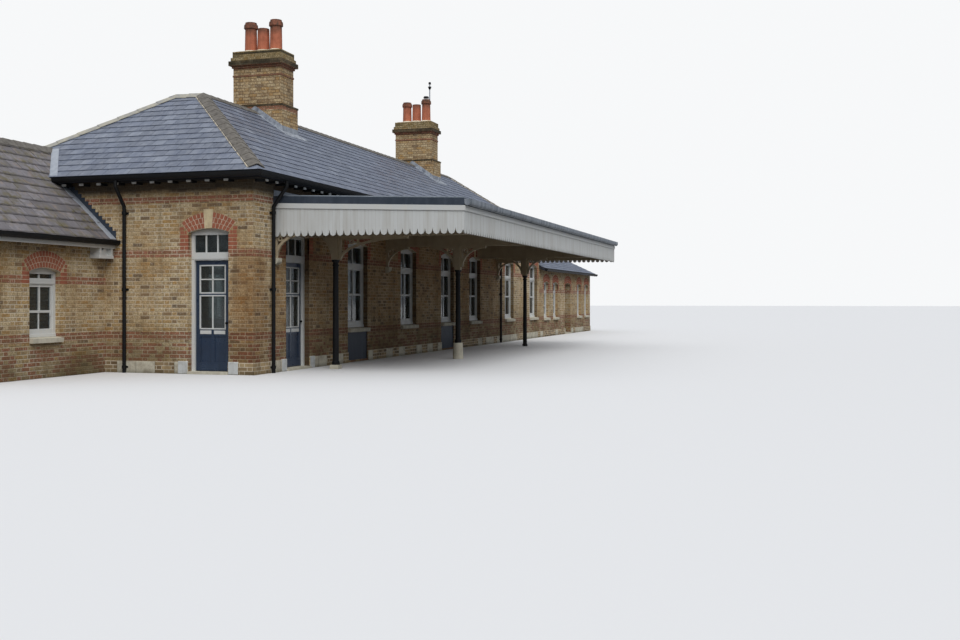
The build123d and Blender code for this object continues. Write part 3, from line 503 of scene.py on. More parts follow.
def brickwork(name, bands, mixed_below=0.0, damp_to=0.0, eave_shade_from=0.0, dark_bands=(), moss_from=0.0):
    """Weathered stock brick with red bands at given heights and mossy at the foot, with painted shade at the top
    under the eaves when their height is given.
    """
    made, tree = material(name)
    c, s = colours(), sizes()
    tone, joints, second = group_in(tree, bond, s.course, s.stretcher, s.joint)
    patches, speckle, streaks = group_in(tree, wear, 0.9, 0.03)
    height = wall_coordinates(tree)[1]
    face = add(tree, "ShaderNodeValToRGB", [tone])[0]
    stops = face.socket.node.color_ramp.elements
    marks = ((0.0, c.burnt), (0.07, c.brown), (0.22, c.tan), (0.6, c.buff), (0.85, c.ochre), (1.0, c.tan))
    while len(stops) < len(marks):
        stops.new(0.5)
    for stop, (position, value) in zip(stops, marks):
        stop.position, stop.color = position, value
    masks = [between(height, low, high) for low, high in bands]
    if mixed_below:
        masks.append((second > 0.5) * (height < mixed_below))
    red = mix(second, darker(c.red, 0.6), c.red)
    for mask in masks:
        face = mix(mask, face, red)
    face = mix(ramp(patches, 0.4, 0.65, 0.0, 0.35), face, c.ochre, "MULTIPLY")
    face = mix(ramp(speckle, 0.46, 0.62, 0.0, 0.75), face, c.brown)
    face = mix(ramp(speckle, 0.3, 0.44, 0.5, 0.0), face, c.mortar)
    pale, dark = (darker(c.brown, 0.9), darker(c.brown, 0.5)) if moss_from else (c.mortar, c.tan)
    face = mix(joints * 0.9, face, mix(ramp(patches, 0.4, 0.6), pale, dark))
    face = mix(ramp(streaks, 0.5, 0.8, 0.0, 0.5 if moss_from else 0.4), face, darker(c.burnt, 0.6))
    if moss_from:
        grown = ramp(height, moss_from, moss_from + 0.1, 0.0, 0.75) * ramp(speckle, 0.35, 0.6, 0.3, 1.0)
        face = mix(grown, face, c.moss)
    for low, high in dark_bands:
        # Near-black patchy bands at the given heights.
        band_darkening = between(height, low, high) * ramp(patches, 0.3, 0.6, 0.5, 0.92)
        face = mix(band_darkening, face, darker(c.moss, 0.12))
    if damp_to:
        damp = ramp(height, 0.0, damp_to, 1.0, 0.0) * ramp(patches, 0.25, 0.6, 0.25, 1.0)
        face = mix(damp * 0.8, face, darker(c.moss, 0.5))
    if eave_shade_from:
        # Painted shade under the eaves: darker towards the top of the wall, with uneven edges.
        soot_and_shade = ramp(height + 0.15 - patches * 0.3, eave_shade_from, eave_shade_from + 0.12, 0.0, 0.86)
        face = mix(soot_and_shade, face, darker(c.burnt, 0.22))
        # Ochre tint near the corner: partly a real stain on the pier, partly painted shadow on the wall beside it.
        face = mix(near_corner(tree), face, mix(1.0, face, c.ochre, "MULTIPLY"))
        # Painted shade on the sides of the openings in the front wall.
        face = mix(recess(tree) * 0.62, face, darker(c.burnt, 0.25))
        # Painted shade on the front wall under the canopy, deeper towards the top.
        face = mix(canopy_shade(tree) * 0.5, face, mix(1.0, face, c.ochre, "MULTIPLY"))
    return surface(made, face, speckle * 0.35 - joints, 0.9, 0.006, Roughness=0.9)


def ashlar(name):
    """Plinth of painted stones and mossy bricks, in blocks along the wall."""
    made, tree = material(name)
    c = colours()
    under = darker(c.brown, 0.5)
    edges, block = group_in(tree, upright_boards, 0.46)
    patches, speckle, _ = group_in(tree, wear, 0.25, 0.03)
    tone, joints, _ = group_in(tree, bond, 0.08, 0.235, 0.012)
    bricks = mix(joints, mix(tone, under, c.tan), c.mortar)
    face = mix(block > 0.42, bricks, c.stone)
    face = mix(ramp(patches, 0.45, 0.65, 0.0, 0.45), face, under)
    face = mix(ramp(speckle, 0.5, 0.75, 0.0, 0.4), face, c.brown)
    face = mix(ramp(wall_coordinates(tree)[1], 0.0, 0.1, 0.6, 0.0), face, darker(c.moss, 0.5))
    face = mix(edges, face, darker(c.moss, 0.3))
    return surface(made, face, speckle - edges * 2.0, 0.8, 0.005, Roughness=0.85)


def slated(name, base, dark, streak, start, pitch, mossy=False):
    """Slates or tiles with a tone of their own, and moss where the roof has it; the mossy tiles have painted shadow
    along the foot of each course.
    """
    made, tree = material(name)
    c, s = colours(), sizes()
    rise = s.slate_gauge * math.sin(pitch)
    tone, second = group_in(tree, slate_courses, s.slate_width, rise, start)
    patches, speckle, streaks = group_in(tree, wear, 0.5, 0.05)
    single = add(tree, "ShaderNodeNewGeometry")["Random Per Island"]
    face = mix(single * 0.5 + 0.3 + tone * 0.2, dark, base)
    face = mix(ramp(single, 0.9, 1.0, 0.0, 0.22), face, streak)
    face = mix(ramp(streaks, 0.45, 0.8, 0.0, 0.3), face, streak)
    face = mix(ramp(speckle, 0.55, 0.8, 0.0, 0.4), face, dark)
    if mossy:
        fine, _, runs = group_in(tree, wear, 0.12, 0.02)
        face = mix(ramp(fine, 0.45, 0.62, 0.0, 0.6), face, darker(c.tile, 0.62))
        face = mix(ramp(runs, 0.55, 0.7, 0.0, 0.35), face, c.brown)
        low = calc("FRACT", (wall_coordinates(tree)[1] - start) / rise)
        grown = ramp(patches, 0.44, 0.58) * ramp(fine, 0.42, 0.52) * ramp(low, 0.0, 0.7, 1.0, 0.35)
        face = mix(grown * 0.9, face, c.moss)
        # Painted shadow along the foot of each course of tiles.
        face = mix(ramp(low, 0.0, 0.16, 0.75, 0.0), face, darker(c.tile_dark, 0.25))
    roughness = 0.85 if mossy else 0.42
    rough = ramp(second, 0.0, 1.0, roughness - 0.1, roughness + 0.16)
    return surface(made, face, speckle, 0.4, 0.003, Roughness=rough)


# Paint, stone and metal: a colour and its share, a worn colour and its share, roughness, metallic, size of the
# patches, amount of wear, and relief
COATS = {
    "red_brick": ("red", 1, "red", 0.45, 0.88, 0, 0.07, 0.5, 0.6),
    "mortar": ("mortar", 1, "brown", 1, 0.95, 0, 0.2, 0.5, 0.6),
    "old_mortar": ("mortar", 0.86, "slate_dark", 1, 0.95, 0, 0.12, 0.7, 0.6),
    # Near-black bed under the slates: painted shade in the gaps between them and at the edges of the slopes.
    "slate_bed": ("slate_dark", 0.3, "black", 1, 0.9, 0, 0.3, 0.4, 0.4),
    "hip_tile": ("ridge", 1, "ridge", 0.4, 0.9, 0, 0.09, 0.75, 0.7),
    "pale_hip": ("stone", 0.66, "slate", 1, 0.85, 0, 0.12, 0.6, 0.6),
    "stone": ("stone", 1, "mortar", 0.45, 0.85, 0, 0.2, 0.6, 0.6),
    "keystone": ("keystone", 1, "brown", 1, 0.85, 0, 0.1, 0.4, 0.6),
    "white_stone": ("white", 1, "moss", 1, 0.7, 0, 0.12, 0.35, 0.5),
    "lead": ("lead", 1, "slate", 1, 0.55, 0.1, 0.2, 0.4, 0.2),
    "old_lead": ("lead", 1, "slate_dark", 1, 0.55, 0.1, 0.12, 0.9, 0.4),
    "dark_lead": ("fascia", 1, "slate_dark", 1, 0.45, 0.1, 0.3, 0.3, 0.2),
    "white_paint": ("white", 1, "mortar", 1, 0.4, 0, 0.3, 0.2, 0.1),
    "cream_paint": ("cream", 1, "brown", 1, 0.5, 0, 0.3, 0.3, 0.2),
    "navy_paint": ("navy", 1, "black", 1, 0.3, 0, 0.3, 0.25, 0.1),
    "terracotta": ("terracotta", 1, "terracotta", 0.3, 0.8, 0, 0.15, 0.45, 0.3),
    "canopy_sheet": ("deck", 1, "lead", 1, 0.35, 0.2, 0.5, 0.4, 0.2),
    "apron_brick": ("fascia", 1, "slate_dark", 1, 0.6, 0, 0.08, 0.4, 0.6),
    "floor_tile": ("floor", 1, "burnt", 1, 0.5, 0, 0.3, 0.4, 0.3),
    "galvanised": ("lead", 1, "slate", 1, 0.4, 0.6, 0.1, 0.3, 0.2),
    # Brown with black patches on the boards under the canopy: painted shade there.
    "soffit": ("brown", 1, "black", 1, 0.7, 0, 0.3, 0.4, 0.4),
}


def coated(name):
    """A coat with patches, speckle and streaks of a worn colour, and soot towards the heads of the pots."""
    base, share, worn, worn_share, roughness, metallic, size, amount, bump = COATS[name]
    made, tree = material(name)
    c = colours()
    base, worn = darker(getattr(c, base), share), darker(getattr(c, worn), worn_share)
    patches, speckle, streaks = group_in(tree, wear, size, size * 0.06)
    face = mix(ramp(patches, 0.42, 0.75, 0.0, amount), base, worn)
    face = mix(ramp(streaks, 0.5, 0.8, 0.0, amount), face, worn)
    face = mix(ramp(speckle, 0.6, 0.8, 0.0, amount * 0.7), face, worn)
    if name == "terracotta":
        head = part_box("chimney_pots")[1][2]
        broad, _, _ = group_in(tree, wear, 0.1, 0.02)
        soot_and_shade = ramp(wall_coordinates(tree)[1], head - 0.42, head - 0.2, 0.0, 0.9) * ramp(broad, 0.35, 0.6, 0.5, 1.0)
        face = mix(soot_and_shade, face, darker(c.burnt, 0.4))
    rough = ramp(patches, 0.3, 0.7, roughness - 0.08, roughness + 0.12)
    return surface(made, face, speckle, bump, 0.002, Roughness=rough, Metallic=metallic)


def ironwork(name):
    """Dull black paint. The canopy's gutter is bare weathered metal."""
    made, tree = material(name)
    c = colours()
    patches, speckle, streaks = group_in(tree, wear, 0.3, 0.02)
    face = mix(ramp(patches, 0.4, 0.75, 0.0, 0.3), c.black, darker(c.fascia, 0.4))
    face = mix(ramp(speckle, 0.55, 0.8, 0.0, 0.3), face, darker(c.brown, 0.3))
    if name == "gutter_paint":
        metal = mix(ramp(streaks, 0.35, 0.7), c.deck, c.lead)
        metal = mix(ramp(speckle, 0.5, 0.7, 0.0, 0.7), metal, c.slate_dark)
        face = mix(axes(tree)[1] < CORNER.y - 3.9, face, metal)
    return surface(made, face, speckle, 0.15, 0.002, Roughness=0.6, Specular_IOR_Level=0.22)


def boarded(name):
    """Painted upright boards with dark joints and run-off stains."""
    made, tree = material(name)
    base, under = colours().white, darker(colours().mortar, 0.45)
    edges, tone = group_in(tree, upright_boards, sizes().board)
    _, speckle, streaks = group_in(tree, wear, 0.4, 0.02)
    face = mix(tone * 0.12, base, under)
    face = mix(ramp(streaks, 0.45, 0.75, 0.0, 0.35), face, under)
    face = mix(edges * 0.4, face, under)
    return surface(made, face, speckle * 0.2 - edges, 0.5, 0.003, Roughness=0.5)


def glazed(name):
    """Old window glass, tinted dark as painted shade of the room behind it, faintly uneven."""
    made, tree = material(name)
    patches, speckle, _ = group_in(tree, wear, 0.8, 0.4)
    face = mix(ramp(patches, 0.3, 0.7), (0.16, 0.2, 0.21, 1), (0.3, 0.34, 0.34, 1))
    return surface(made, face, speckle, 0.02, 0.002, Roughness=0.06, Transmission_Weight=0.9, IOR=1.45)


def finish_of(name):
    """A material by name, made once."""
    if name not in MATERIALS:
        c = colours()
        makers = {
            "wall_brick": lambda: brickwork(name, ((0.7, 0.86), (2.42, 2.58), (3.55, 3.68)), 0.62, 1.3, 3.69),
            "low_brick": lambda: brickwork(name, ((0.7, 0.86), (1.84, 2.0)), 0.62, 1.1),
            "near_stack": lambda: brickwork(
                name, ((6.44, 6.53), (7.33, 7.38), (7.54, 7.632)), moss_from=7.7,
                dark_bands=((6.535, 6.59), (7.632, 7.75), (7.93, 7.975))),
            "far_stack": lambda: brickwork(
                name, ((7.29, 7.34), (7.5, 7.592)), moss_from=7.66,
                dark_bands=((6.535, 6.59), (7.592, 7.71))),
            "slate": lambda: slated(name, c.slate, c.slate_dark, c.lead, EAVE_Z, PITCH),
            "low_slate": lambda: slated(name, c.slate, c.slate_dark, c.lead, LOW_EAVE_Z, LOW_PITCH),
            "annex_slate": lambda: slated(name, c.tile, c.tile_dark, darker(c.tile, 1.25), annex_z(ANNEX_EAVE_Y),
                                          ANNEX_PITCH, True),
            "plinth": lambda: ashlar(name),
            "valance_paint": lambda: boarded(name),
            "black_paint": lambda: ironwork(name),
            "gutter_paint": lambda: ironwork(name),
            "glass": lambda: glazed(name),
        }
        MATERIALS[name] = makers.get(name, lambda: coated(name))()
    return MATERIALS[name]


NODE_FINISHES = {
    "wall_brick": ("corner_pier", "front_wall", "end_wall", "wing_rear_wall", "wing_side_wall", "rear_wall",
                   "far_end_wall", "walls_over_doors"),
    "low_brick": ("annex_side_walls", "annex_gable_wall", "extension_side_walls", "extension_gable_wall"),
    "near_stack": ("near_chimney",),
    "far_stack": ("far_chimney",),
    "mortar": ("brick_arches",),
    # The slopes under the slates are near-black: painted shade in the gaps between the slates.
    "slate_bed": ("front_slope", "rear_slope", "near_end_slope", "far_end_slope", "wing_inner_slope",
                  "wing_rear_slope", "extension_front_slope", "extension_rear_slope", "annex_front_slope",
                  "annex_rear_slope"),
    "hip_tile": ("ridge_and_hip_tiles",),
    "stone": ("bracket_corbels", "thresholds", "window_sills", "column_bases"),
    "keystone": ("keystones",),
    "plinth": ("stone_plinth",),
    "dark_lead": ("canopy_flashings",),
    "white_paint": ("door_frames", "window_frames", "window_sashes", "valance_rail"),
    "cream_paint": ("canopy_cross_beams", "canopy_purlins", "column_heads", "spandrel_brackets"),
    "valance_paint": ("front_valance", "end_valances"),
    "navy_paint": ("platform_door", "end_door"),
    "black_paint": ("canopy_columns", "downpipes"),
    "gutter_paint": ("gutters",),
    "terracotta": ("chimney_pots",),
    "canopy_sheet": ("canopy_deck",),
    "apron_brick": ("window_aprons",),
    "floor_tile": ("ground_floor",),
    "galvanised": ("aerial_mast", "door_hinges"),
    "glass": ("window_glass", "platform_door_glass", "end_door_glass"),
}


class STATION_OT_finishes(bpy.types.Operator):
    """Gives every part of the frame its material"""
    bl_idname = "station.finishes"
    bl_label = "Finishes"

    def execute(self, context):
        for name, nodes in NODE_FINISHES.items():
            for node in nodes:
                slots = NODES[node].data.materials
                slots.clear()
                slots.append(finish_of(name))
        return {"FINISHED"}


# Roofs
def slates(eave, turn, pitch, wide, run, cuts, seed, wave=0.0015):
    """Courses of slates on one slope, from one end of its eave and along it. The cuts trim them to its edges."""
    s = sizes()
    width, gauge, gap, lap, overhang = s.slate_width, s.slate_gauge, 0.009, 0.03, 0.03
    thick = 0.006
    slate = bar((0, 0, 0), (width - gap, gauge + lap, thick))
    for vertex in slate.data.vertices:
        if vertex.co.y < gauge / 2:
            vertex.co.z += s.slate_tail
    pair = joined([slate, copy_of(slate, Matrix.Translation((-width / 2, gauge, 0)))])
    repeat(pair, math.ceil(wide / width) + 1, (width, 0, 0))
    repeat(pair, math.ceil((run / math.cos(pitch) + overhang) / gauge / 2), (0, 2 * gauge, 0))
    edited(pair, bpy.ops.transform.vertex_random, offset=wave, seed=seed)
    along, inward = Vector((math.cos(turn), math.sin(turn), 0)), Vector((-math.sin(turn), math.cos(turn), 0))
    up = inward * math.cos(pitch) + Vector((0, 0, math.sin(pitch)))
    slope = Matrix((along, up, along.cross(up))).transposed().to_4x4()
    placed(pair, Matrix.Translation(CORNER + Vector(eave) - up * overhang) @ slope)
    for point, outwards in cuts:
        cut(pair, CORNER + Vector(point), outwards)
    return pair


class STATION_OT_slates(bpy.types.Operator):
    """Lays the slates of every roof"""
    bl_idname = "station.slates"
    bl_label = "Slates"

    def execute(self, context):
        out, quarter, above_bed = EAVE_OUT, math.pi / 2, 0.001
        far, rear, wing = MAIN_LEN + out, MAIN_DEPTH + out, WING_DEPTH + out
        side, half = WING_LEN + out, MAIN_DEPTH / 2
        slopes = (
            ((-out, -out), 0, far + out, ((-out, -out, 0), (-1, 1, 0)), ((far, -out, 0), (1, 1, 0))),
            ((-out, wing), -quarter, wing + out, ((-out, -out, 0), (1, -1, 0)), ((-out, wing, 0), (1, 1, 0))),
            ((far, rear), 2 * quarter, far - side, ((far, rear, 0), (1, -1, 0)), ((side, rear, 0), (-1, 1, 0))),
            ((far, -out), quarter, rear + out, ((far, rear, 0), (-1, 1, 0)), ((far, -out, 0), (-1, -1, 0))),
            ((side, wing), 2 * quarter, side + out, ((side, wing, 0), (1, -1, 0)), ((-out, wing, 0), (-1, -1, 0))),
            ((side, half), quarter, wing - half, ((side, rear, 0), (1, -1, 0)), ((side, wing, 0), (-1, 1, 0))),
        )
        top = (0, 0, RIDGE_Z - 0.004), (0, 0, 1)
        pieces = [slates((*eave, EAVE_Z + above_bed), turn, PITCH, wide, RUN, [*cuts, top], seed)
                  for seed, (eave, turn, wide, *cuts) in enumerate(slopes, 1)]
        finish(pieces, "main_roof_slates", "slate")
        ends = ((MAIN_LEN, 0, 0), (-1, 0, 0)), ((LOW_END - 0.008, 0, 0), (1, 0, 0))
        pieces = [slates((x, y, LOW_EAVE_Z + above_bed), turn, LOW_PITCH, LOW_END - MAIN_LEN, abs(LOW_RIDGE_Y - y),
                         [*ends, ((0, LOW_RIDGE_Y, 0), (0, way, 0))], seed)
                  for x, y, turn, way, seed in ((MAIN_LEN, -0.25, 0, 1, 7), (LOW_END, 4.05, 2 * quarter, -1, 8))]
        finish(pieces, "extension_slates", "low_slate")
        # The annex roof stops at the main eave, goes on beneath it to the wall, and runs in over the main slope
        end, eave = ((ANNEX_END, 0, 0), (-1, 0, 0)), ((-EAVE_OUT, 0, 0), (1, 0, 0))
        inside = (eave[0], (-1, 0, 0))
        wall, soffit = ((-0.004, 0, 0), (1, 0, 0)), ((0, 0, EAVE_UNDER - 0.02), (0, 0, 1))
        under = (-EAVE_OUT, 0, EAVE_Z), (math.sin(PITCH), 0, -math.cos(PITCH))
        head = 0.97
        pieces = [slates((x, y, annex_z(y)), turn, ANNEX_PITCH, head - ANNEX_END, abs(ANNEX_RIDGE_Y - y),
                         [((0, ANNEX_RIDGE_Y, 0), (0, way, 0)), *trims], 10 + way, 0.007)
                  for trims in ((end, eave), (inside, wall, soffit), (inside, under))
                  for x, y, turn, way in ((ANNEX_END, ANNEX_EAVE_Y, 0, 1), (head, ANNEX_BACK_Y, 2 * quarter, -1))]
        finish(pieces, "annex_slates", "annex_slate")
        return {"FINISHED"}


def along_line(start, end):
    """A frame along a line, x forward and z up from it, and the line's length."""
    start, end = Vector(start), Vector(end)
    forward = (end - start).normalized()
    sideways = Vector((0, 0, 1)).cross(forward).normalized()
    turn = Matrix((forward, sideways, forward.cross(sideways))).transposed().to_4x4()
    return Matrix.Translation(CORNER + start) @ turn, (end - start).length


def capping(start, end, wide, fall, tile):
    """Overlapping angled cap tiles along a ridge or hip. Their wings fall by a share of their width."""
    where, run = along_line(start, end)
    count = max(1, round(run / tile))
    step, crown = run / count, 0.14
    cap = sliced(bar((0, -1, 0), (step * 1.04, 1, 0.02)), 1, (-crown, crown))
    for vertex in cap.data.vertices:
        tail = 0.012 if vertex.co.x < step / 2 else 0.0
        wing = max(0.0, abs(vertex.co.y) - crown) / (1 - crown)
        vertex.co = Vector((vertex.co.x, vertex.co.y * wide, vertex.co.z + 0.018 + tail - wing * wide * fall))
    return placed(repeat(cap, count, (step, 0, 0)), where)


def bedding(start, end):
    """Mortar along both edges of a hip."""
    where, run = along_line(start, end)
    count = round(run / 0.33)
    step = run / count
    edges = []
    for low, wide, top in ((0.15, 0.034, -0.046), (-0.176, 0.022, -0.05)):
        dab = bar((0.02, low, -0.074), (step - 0.03, low + wide, top))
        edges.append(repeat(dab, count, (step, 0, 0)))
    return placed(edited(joined(edges), bpy.ops.transform.vertex_random, offset=0.006, seed=4), where)


class STATION_OT_caps(bpy.types.Operator):
    """Lays ridge and hip tiles"""
    bl_idname = "station.caps"
    bl_label = "Ridge and hip tiles"

    def execute(self, context):
        tile, inset = sizes().hip_tile, 0.12
        out = EAVE_OUT - inset
        half, top, low = MAIN_DEPTH / 2, RIDGE_Z, EAVE_Z + inset * math.tan(PITCH)
        far, rear, wing, side = MAIN_LEN + out, MAIN_DEPTH + out, WING_DEPTH + out, WING_LEN + out
        wing_end = (half, WING_LEN / 2 + WING_DEPTH - MAIN_DEPTH, top)
        hips = [((-out, -out, low), (half, half, top)), ((far, -out, low), (MAIN_LEN - half, half, top)),
                ((far, rear, low), (MAIN_LEN - half, half, top)), ((side, wing, low), wing_end)]
        tiles = [capping(*hip, 0.165, 0.44, tile) for hip in hips]
        clear = 0.46
        edges = [half] + [x + clear for x in STACKS], [x - clear for x in STACKS] + [MAIN_LEN - half]
        tiles += [capping((a, half, top), (b, half, top), 0.15, 0.69, tile) for a, b in zip(*edges)]
        for a, b, y, z, fall in ((MAIN_LEN + 0.02, LOW_END - 0.03, LOW_RIDGE_Y, LOW_RIDGE_Z, 0.466),
                                 (ANNEX_END + 0.03, 0.85, ANNEX_RIDGE_Y, ANNEX_RIDGE_Z, 0.93)):
            tiles.append(capping((a, y, z), (b, y, z), 0.15, fall, tile))
        piece = finish(tiles, "cap_tiles", "hip_tile", 0.003)
        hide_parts("ridge_and_hip_tiles")
        pale = [capping((-out, wing, low), wing_end, 0.16, 0.44, 0.5),
                capping(wing_end, (half, half, top), 0.15, 0.69, 0.4)]
        finish(pale, "pale_cap_tiles", "pale_hip", 0.006)
        finish([bedding(*hip) for hip in hips], "hip_bedding", "old_mortar")
        return {"FINISHED"}


# Walls
def arc_at(half, low, top, share):
    """Point of an arc over an opening, from -1 at its left end to 1 at its right end."""
    radius = (half ** 2 + (top - low) ** 2) / (2 * (top - low))
    angle = math.asin(half / radius) * share
    return Vector((radius * math.sin(angle), 0, top - radius + radius * math.cos(angle)))


def voussoirs(width, spring, head, keyed):
    """Three rings of rubbed bricks over an opening, cut to its keystone where it has one."""
    def at(share, depth):
        low = arc_at(width / 2, spring, spring + head, share)
        high = arc_at(width / 2 + 0.165, spring + 0.2, spring + head + 0.33, share)
        return low.lerp(high, depth)

    def key_half(z):
        return 0.08 + 0.038 * (z - spring) / (head + 0.39) if keyed else -1

    parts, joint = [], 0.07
    for ring in range(3):
        count = round((width + 0.08 * ring) / 0.078)
        for i in range(count):
            shares = [2 * (i + joint) / count - 1, 2 * (i + 1 - joint) / count - 1]
            depths = [(ring + 0.035) / 3, (ring + 0.965) / 3]
            corners = [at(share, depth) for share in shares for depth in depths]
            if all(abs(point.x) < key_half(point.z) + 0.012 for point in corners):
                continue
            side = sum(point.x for point in corners)
            brick = bar((0, -0.004, 0), (1, 0.03, 1))
            for vertex in brick.data.vertices:
                point = at(shares[round(vertex.co.x)], depths[round(vertex.co.z)])
                x = math.copysign(max(abs(point.x), key_half(point.z)), side) if keyed else point.x
                vertex.co = (x, vertex.co.y, point.z)
            parts.append(brick)
    return joined(parts)


def toothing(width, low, high, spring):
    """Red bricks beside an opening, headers and stretchers by turns, cut to the arch's foot."""
    course, bed = sizes().course, 0.005
    parts = []
    for i in range(round(low / course), round(high / course)):
        z = i * course
        foot = max(0, 0.825 * (z + course - spring) + 0.006)
        bricks = ((0, 0.205),) if i % 2 else ((0, 0.09), (0.1, 0.19))
        bricks = [(max(near, foot), far) for near, far in bricks if far - max(near, foot) > 0.04]
        for near, far in [(side * (width / 2 + near), side * (width / 2 + far))
                          for side in (-1, 1) for near, far in bricks]:
            parts.append(bar((near, -0.003, z + bed), (far, 0.05, z + course - bed)))
    return joined(parts)


def arched_board(width, low, spring, head):
    """A board under an arch, straight below and curved above."""
    board = sliced(bar((-1, 0.115, 0), (1, 0.2, 1)), 0, [i / 4 for i in range(-3, 4)])
    for vertex in board.data.vertices:
        top = arc_at(width / 2, spring, spring + head, vertex.co.x)
        vertex.co = (top.x, vertex.co.y, top.z - 0.003 if vertex.co.z > 0.5 else low)
    return board


class STATION_OT_dressings(bpy.types.Operator):
    """Lays the red brick arches and the toothed red jambs"""
    bl_idname = "station.dressings"
    bl_label = "Red brick dressings"

    def execute(self, context):
        # Width, spring, rise and keystone of each arch, where it stands, and the height of its jambs
        sets = [(1.23, 2.88, 0.1, True, FRONT_WINDOWS, 2.56, 3.04),
                (1.23, 2.88, 0.1, False, BACK_WINDOWS, 2.56, 3.04),
                (0.9, 2.25, 0.08, False, LOW_WINDOWS, 2.0, 2.4),
                (0.9, 2.08, 0.08, False, ANNEX_WINDOW, 1.84, 2.24),
                (1.2, 2.25, 0.08, False, [("front", 29.5)], 2.0, 2.4)]
        sets += [(width, 2.92, 0.085, True, [(side, along)], 2.56, 3.12) for side, along, width in DOOR_PLACES]
        arches, jambs = [], []
        for width, spring, head, keyed, places, low, high in sets:
            arches += copies(voussoirs(width, spring, head, keyed), places)
            jambs += copies(toothing(width, low, high, spring), places)
        finish(arches, "arch_bricks", "red_brick", 0.002)
        finish(jambs, "jamb_bricks", "red_brick", 0.002)
        return {"FINISHED"}


class STATION_OT_window_bars(bpy.types.Operator):
    """Fits glazing bars, sash horns and timber sills to the windows"""
    bl_idname = "station.window_bars"
    bl_label = "Window bars"

    def bars(self, width, low, meet, bar_z, top, spring, head):
        """Joinery of a window whose sashes meet at one height, with a transom at another."""
        half, edge, inner = sizes().bar / 2, width / 2, width / 2 - 0.12
        parts = [arched_board(width, spring - 0.045, spring, head),
                 bar((-half, 0.15, low + 0.1), (half, 0.2, meet)),
                 bar((-half, 0.13, meet), (half, 0.18, bar_z)),
                 bar((-half, 0.14, bar_z), (half, 0.2, top)),
                 bar((-inner - 0.05, 0.125, low + 0.06), (inner + 0.05, 0.2, low + 0.16)),
                 bar((0.005 - edge, 0.1, low), (edge - 0.005, 0.22, low + 0.06)),
                 bar((0.01 - edge, 0.11, bar_z + 0.01), (edge - 0.01, 0.2, bar_z + 0.11))]
        parts += [bar((x - 0.02, 0.128, meet - 0.1), (x + 0.02, 0.16, meet + 0.02)) for x in (-inner, inner)]
        return joined(parts)

    def execute(self, context):
        for name, places, shape in (
                ("tall_window_bars", FRONT_WINDOWS + BACK_WINDOWS, (1.23, 0.85, 1.665, 2.32, 2.9, 2.88, 0.1)),
                ("low_window_bars", LOW_WINDOWS, (0.9, 0.8, 1.3, 1.83, 2.27, 2.25, 0.08)),
                ("annex_window_bars", ANNEX_WINDOW, (0.9, 0.8, 1.3, 1.83, 2.1, 2.08, 0.08))):
            finish(copies(self.bars(*shape), places), name, "white_paint", 0.004)
        return {"FINISHED"}


class STATION_OT_door_joinery(bpy.types.Operator):
    """Fits beads, bars, panels and knobs to the doors, and bars to their fanlights"""
    bl_idname = "station.door_joinery"
    bl_label = "Door joinery"

    def execute(self, context):
        half, face = sizes().bar / 2, 0.175

        def slab(left, right, low, high, near, far):
            return bar((left, face + near, low), (right, face + far, high))

        fan = []
        for (side, along, width), body in zip(DOOR_PLACES, ("platform_door_leaf", "end_door_leaf")):
            edge, left, right = width / 2, 0.075 - width / 2, width / 2 - 0.078
            mid, inner_l, inner_r = (left + right) / 2, left + 0.095, right - 0.095
            where = place(side, along)
            white, blue = [], []
            for low, high in ((0.93, 1.615), (1.672, 2.24)):
                white.append(slab(mid - half, mid + half, low, high, -0.004, 0.02))
                white += [slab(x - 0.014, x + 0.014, low - 0.014, high + 0.014, -0.006, 0.02)
                          for x in (inner_l, inner_r)]
                white += [slab(inner_l, inner_r, z - 0.014, z + 0.014, -0.006, 0.02) for z in (low, high)]
            white.append(slab(inner_l, inner_r, 1.94, 1.965, -0.004, 0.02))
            white += [slab(x0, x1, 0.82, 0.895, -0.004, 0.004)
                      for x0, x1 in ((inner_l, mid - 0.03), (mid + 0.03, inner_r))]
            for x0, x1 in ((inner_l, mid - 0.038), (mid + 0.038, inner_r)):
                blue += [slab(*corners, 0.002, 0.014) for corners in (
                    (x0, x0 + 0.018, 0.25, 0.78), (x1 - 0.018, x1, 0.25, 0.78),
                    (x0, x1, 0.25, 0.268), (x0, x1, 0.762, 0.78))]
            blue.append(slab(left + 0.01, right - 0.01, 0.065, 0.2, -0.01, 0))
            knob = rod(0.022, 0.05, (right - 0.05, face - 0.03, 1.05), 12, (math.pi / 2, 0, 0))
            for parts, part, look, bevel in ((white, "_door_beads", "white_paint", 0.003),
                                             (blue, "_door_mouldings", "navy_paint", 0.003),
                                             ([knob], "_door_knob", "black_paint", 0.004)):
                finish([placed(joined(parts), where)], side + part, look, bevel, body)
            third = width / 6 - 0.02
            parts = [bar((x - half, 0.14, 2.44), (x + half, 0.2, 2.94)) for x in (-third, third)]
            parts += [bar((0.01 - edge, 0.11, 2.37), (edge - 0.01, 0.2, 2.51)),
                      arched_board(width, 2.87, 2.92, 0.085)]
            fan.append(placed(joined(parts), where))
        finish(fan, "fanlight_bars", "white_paint", 0.004)
        return {"FINISHED"}


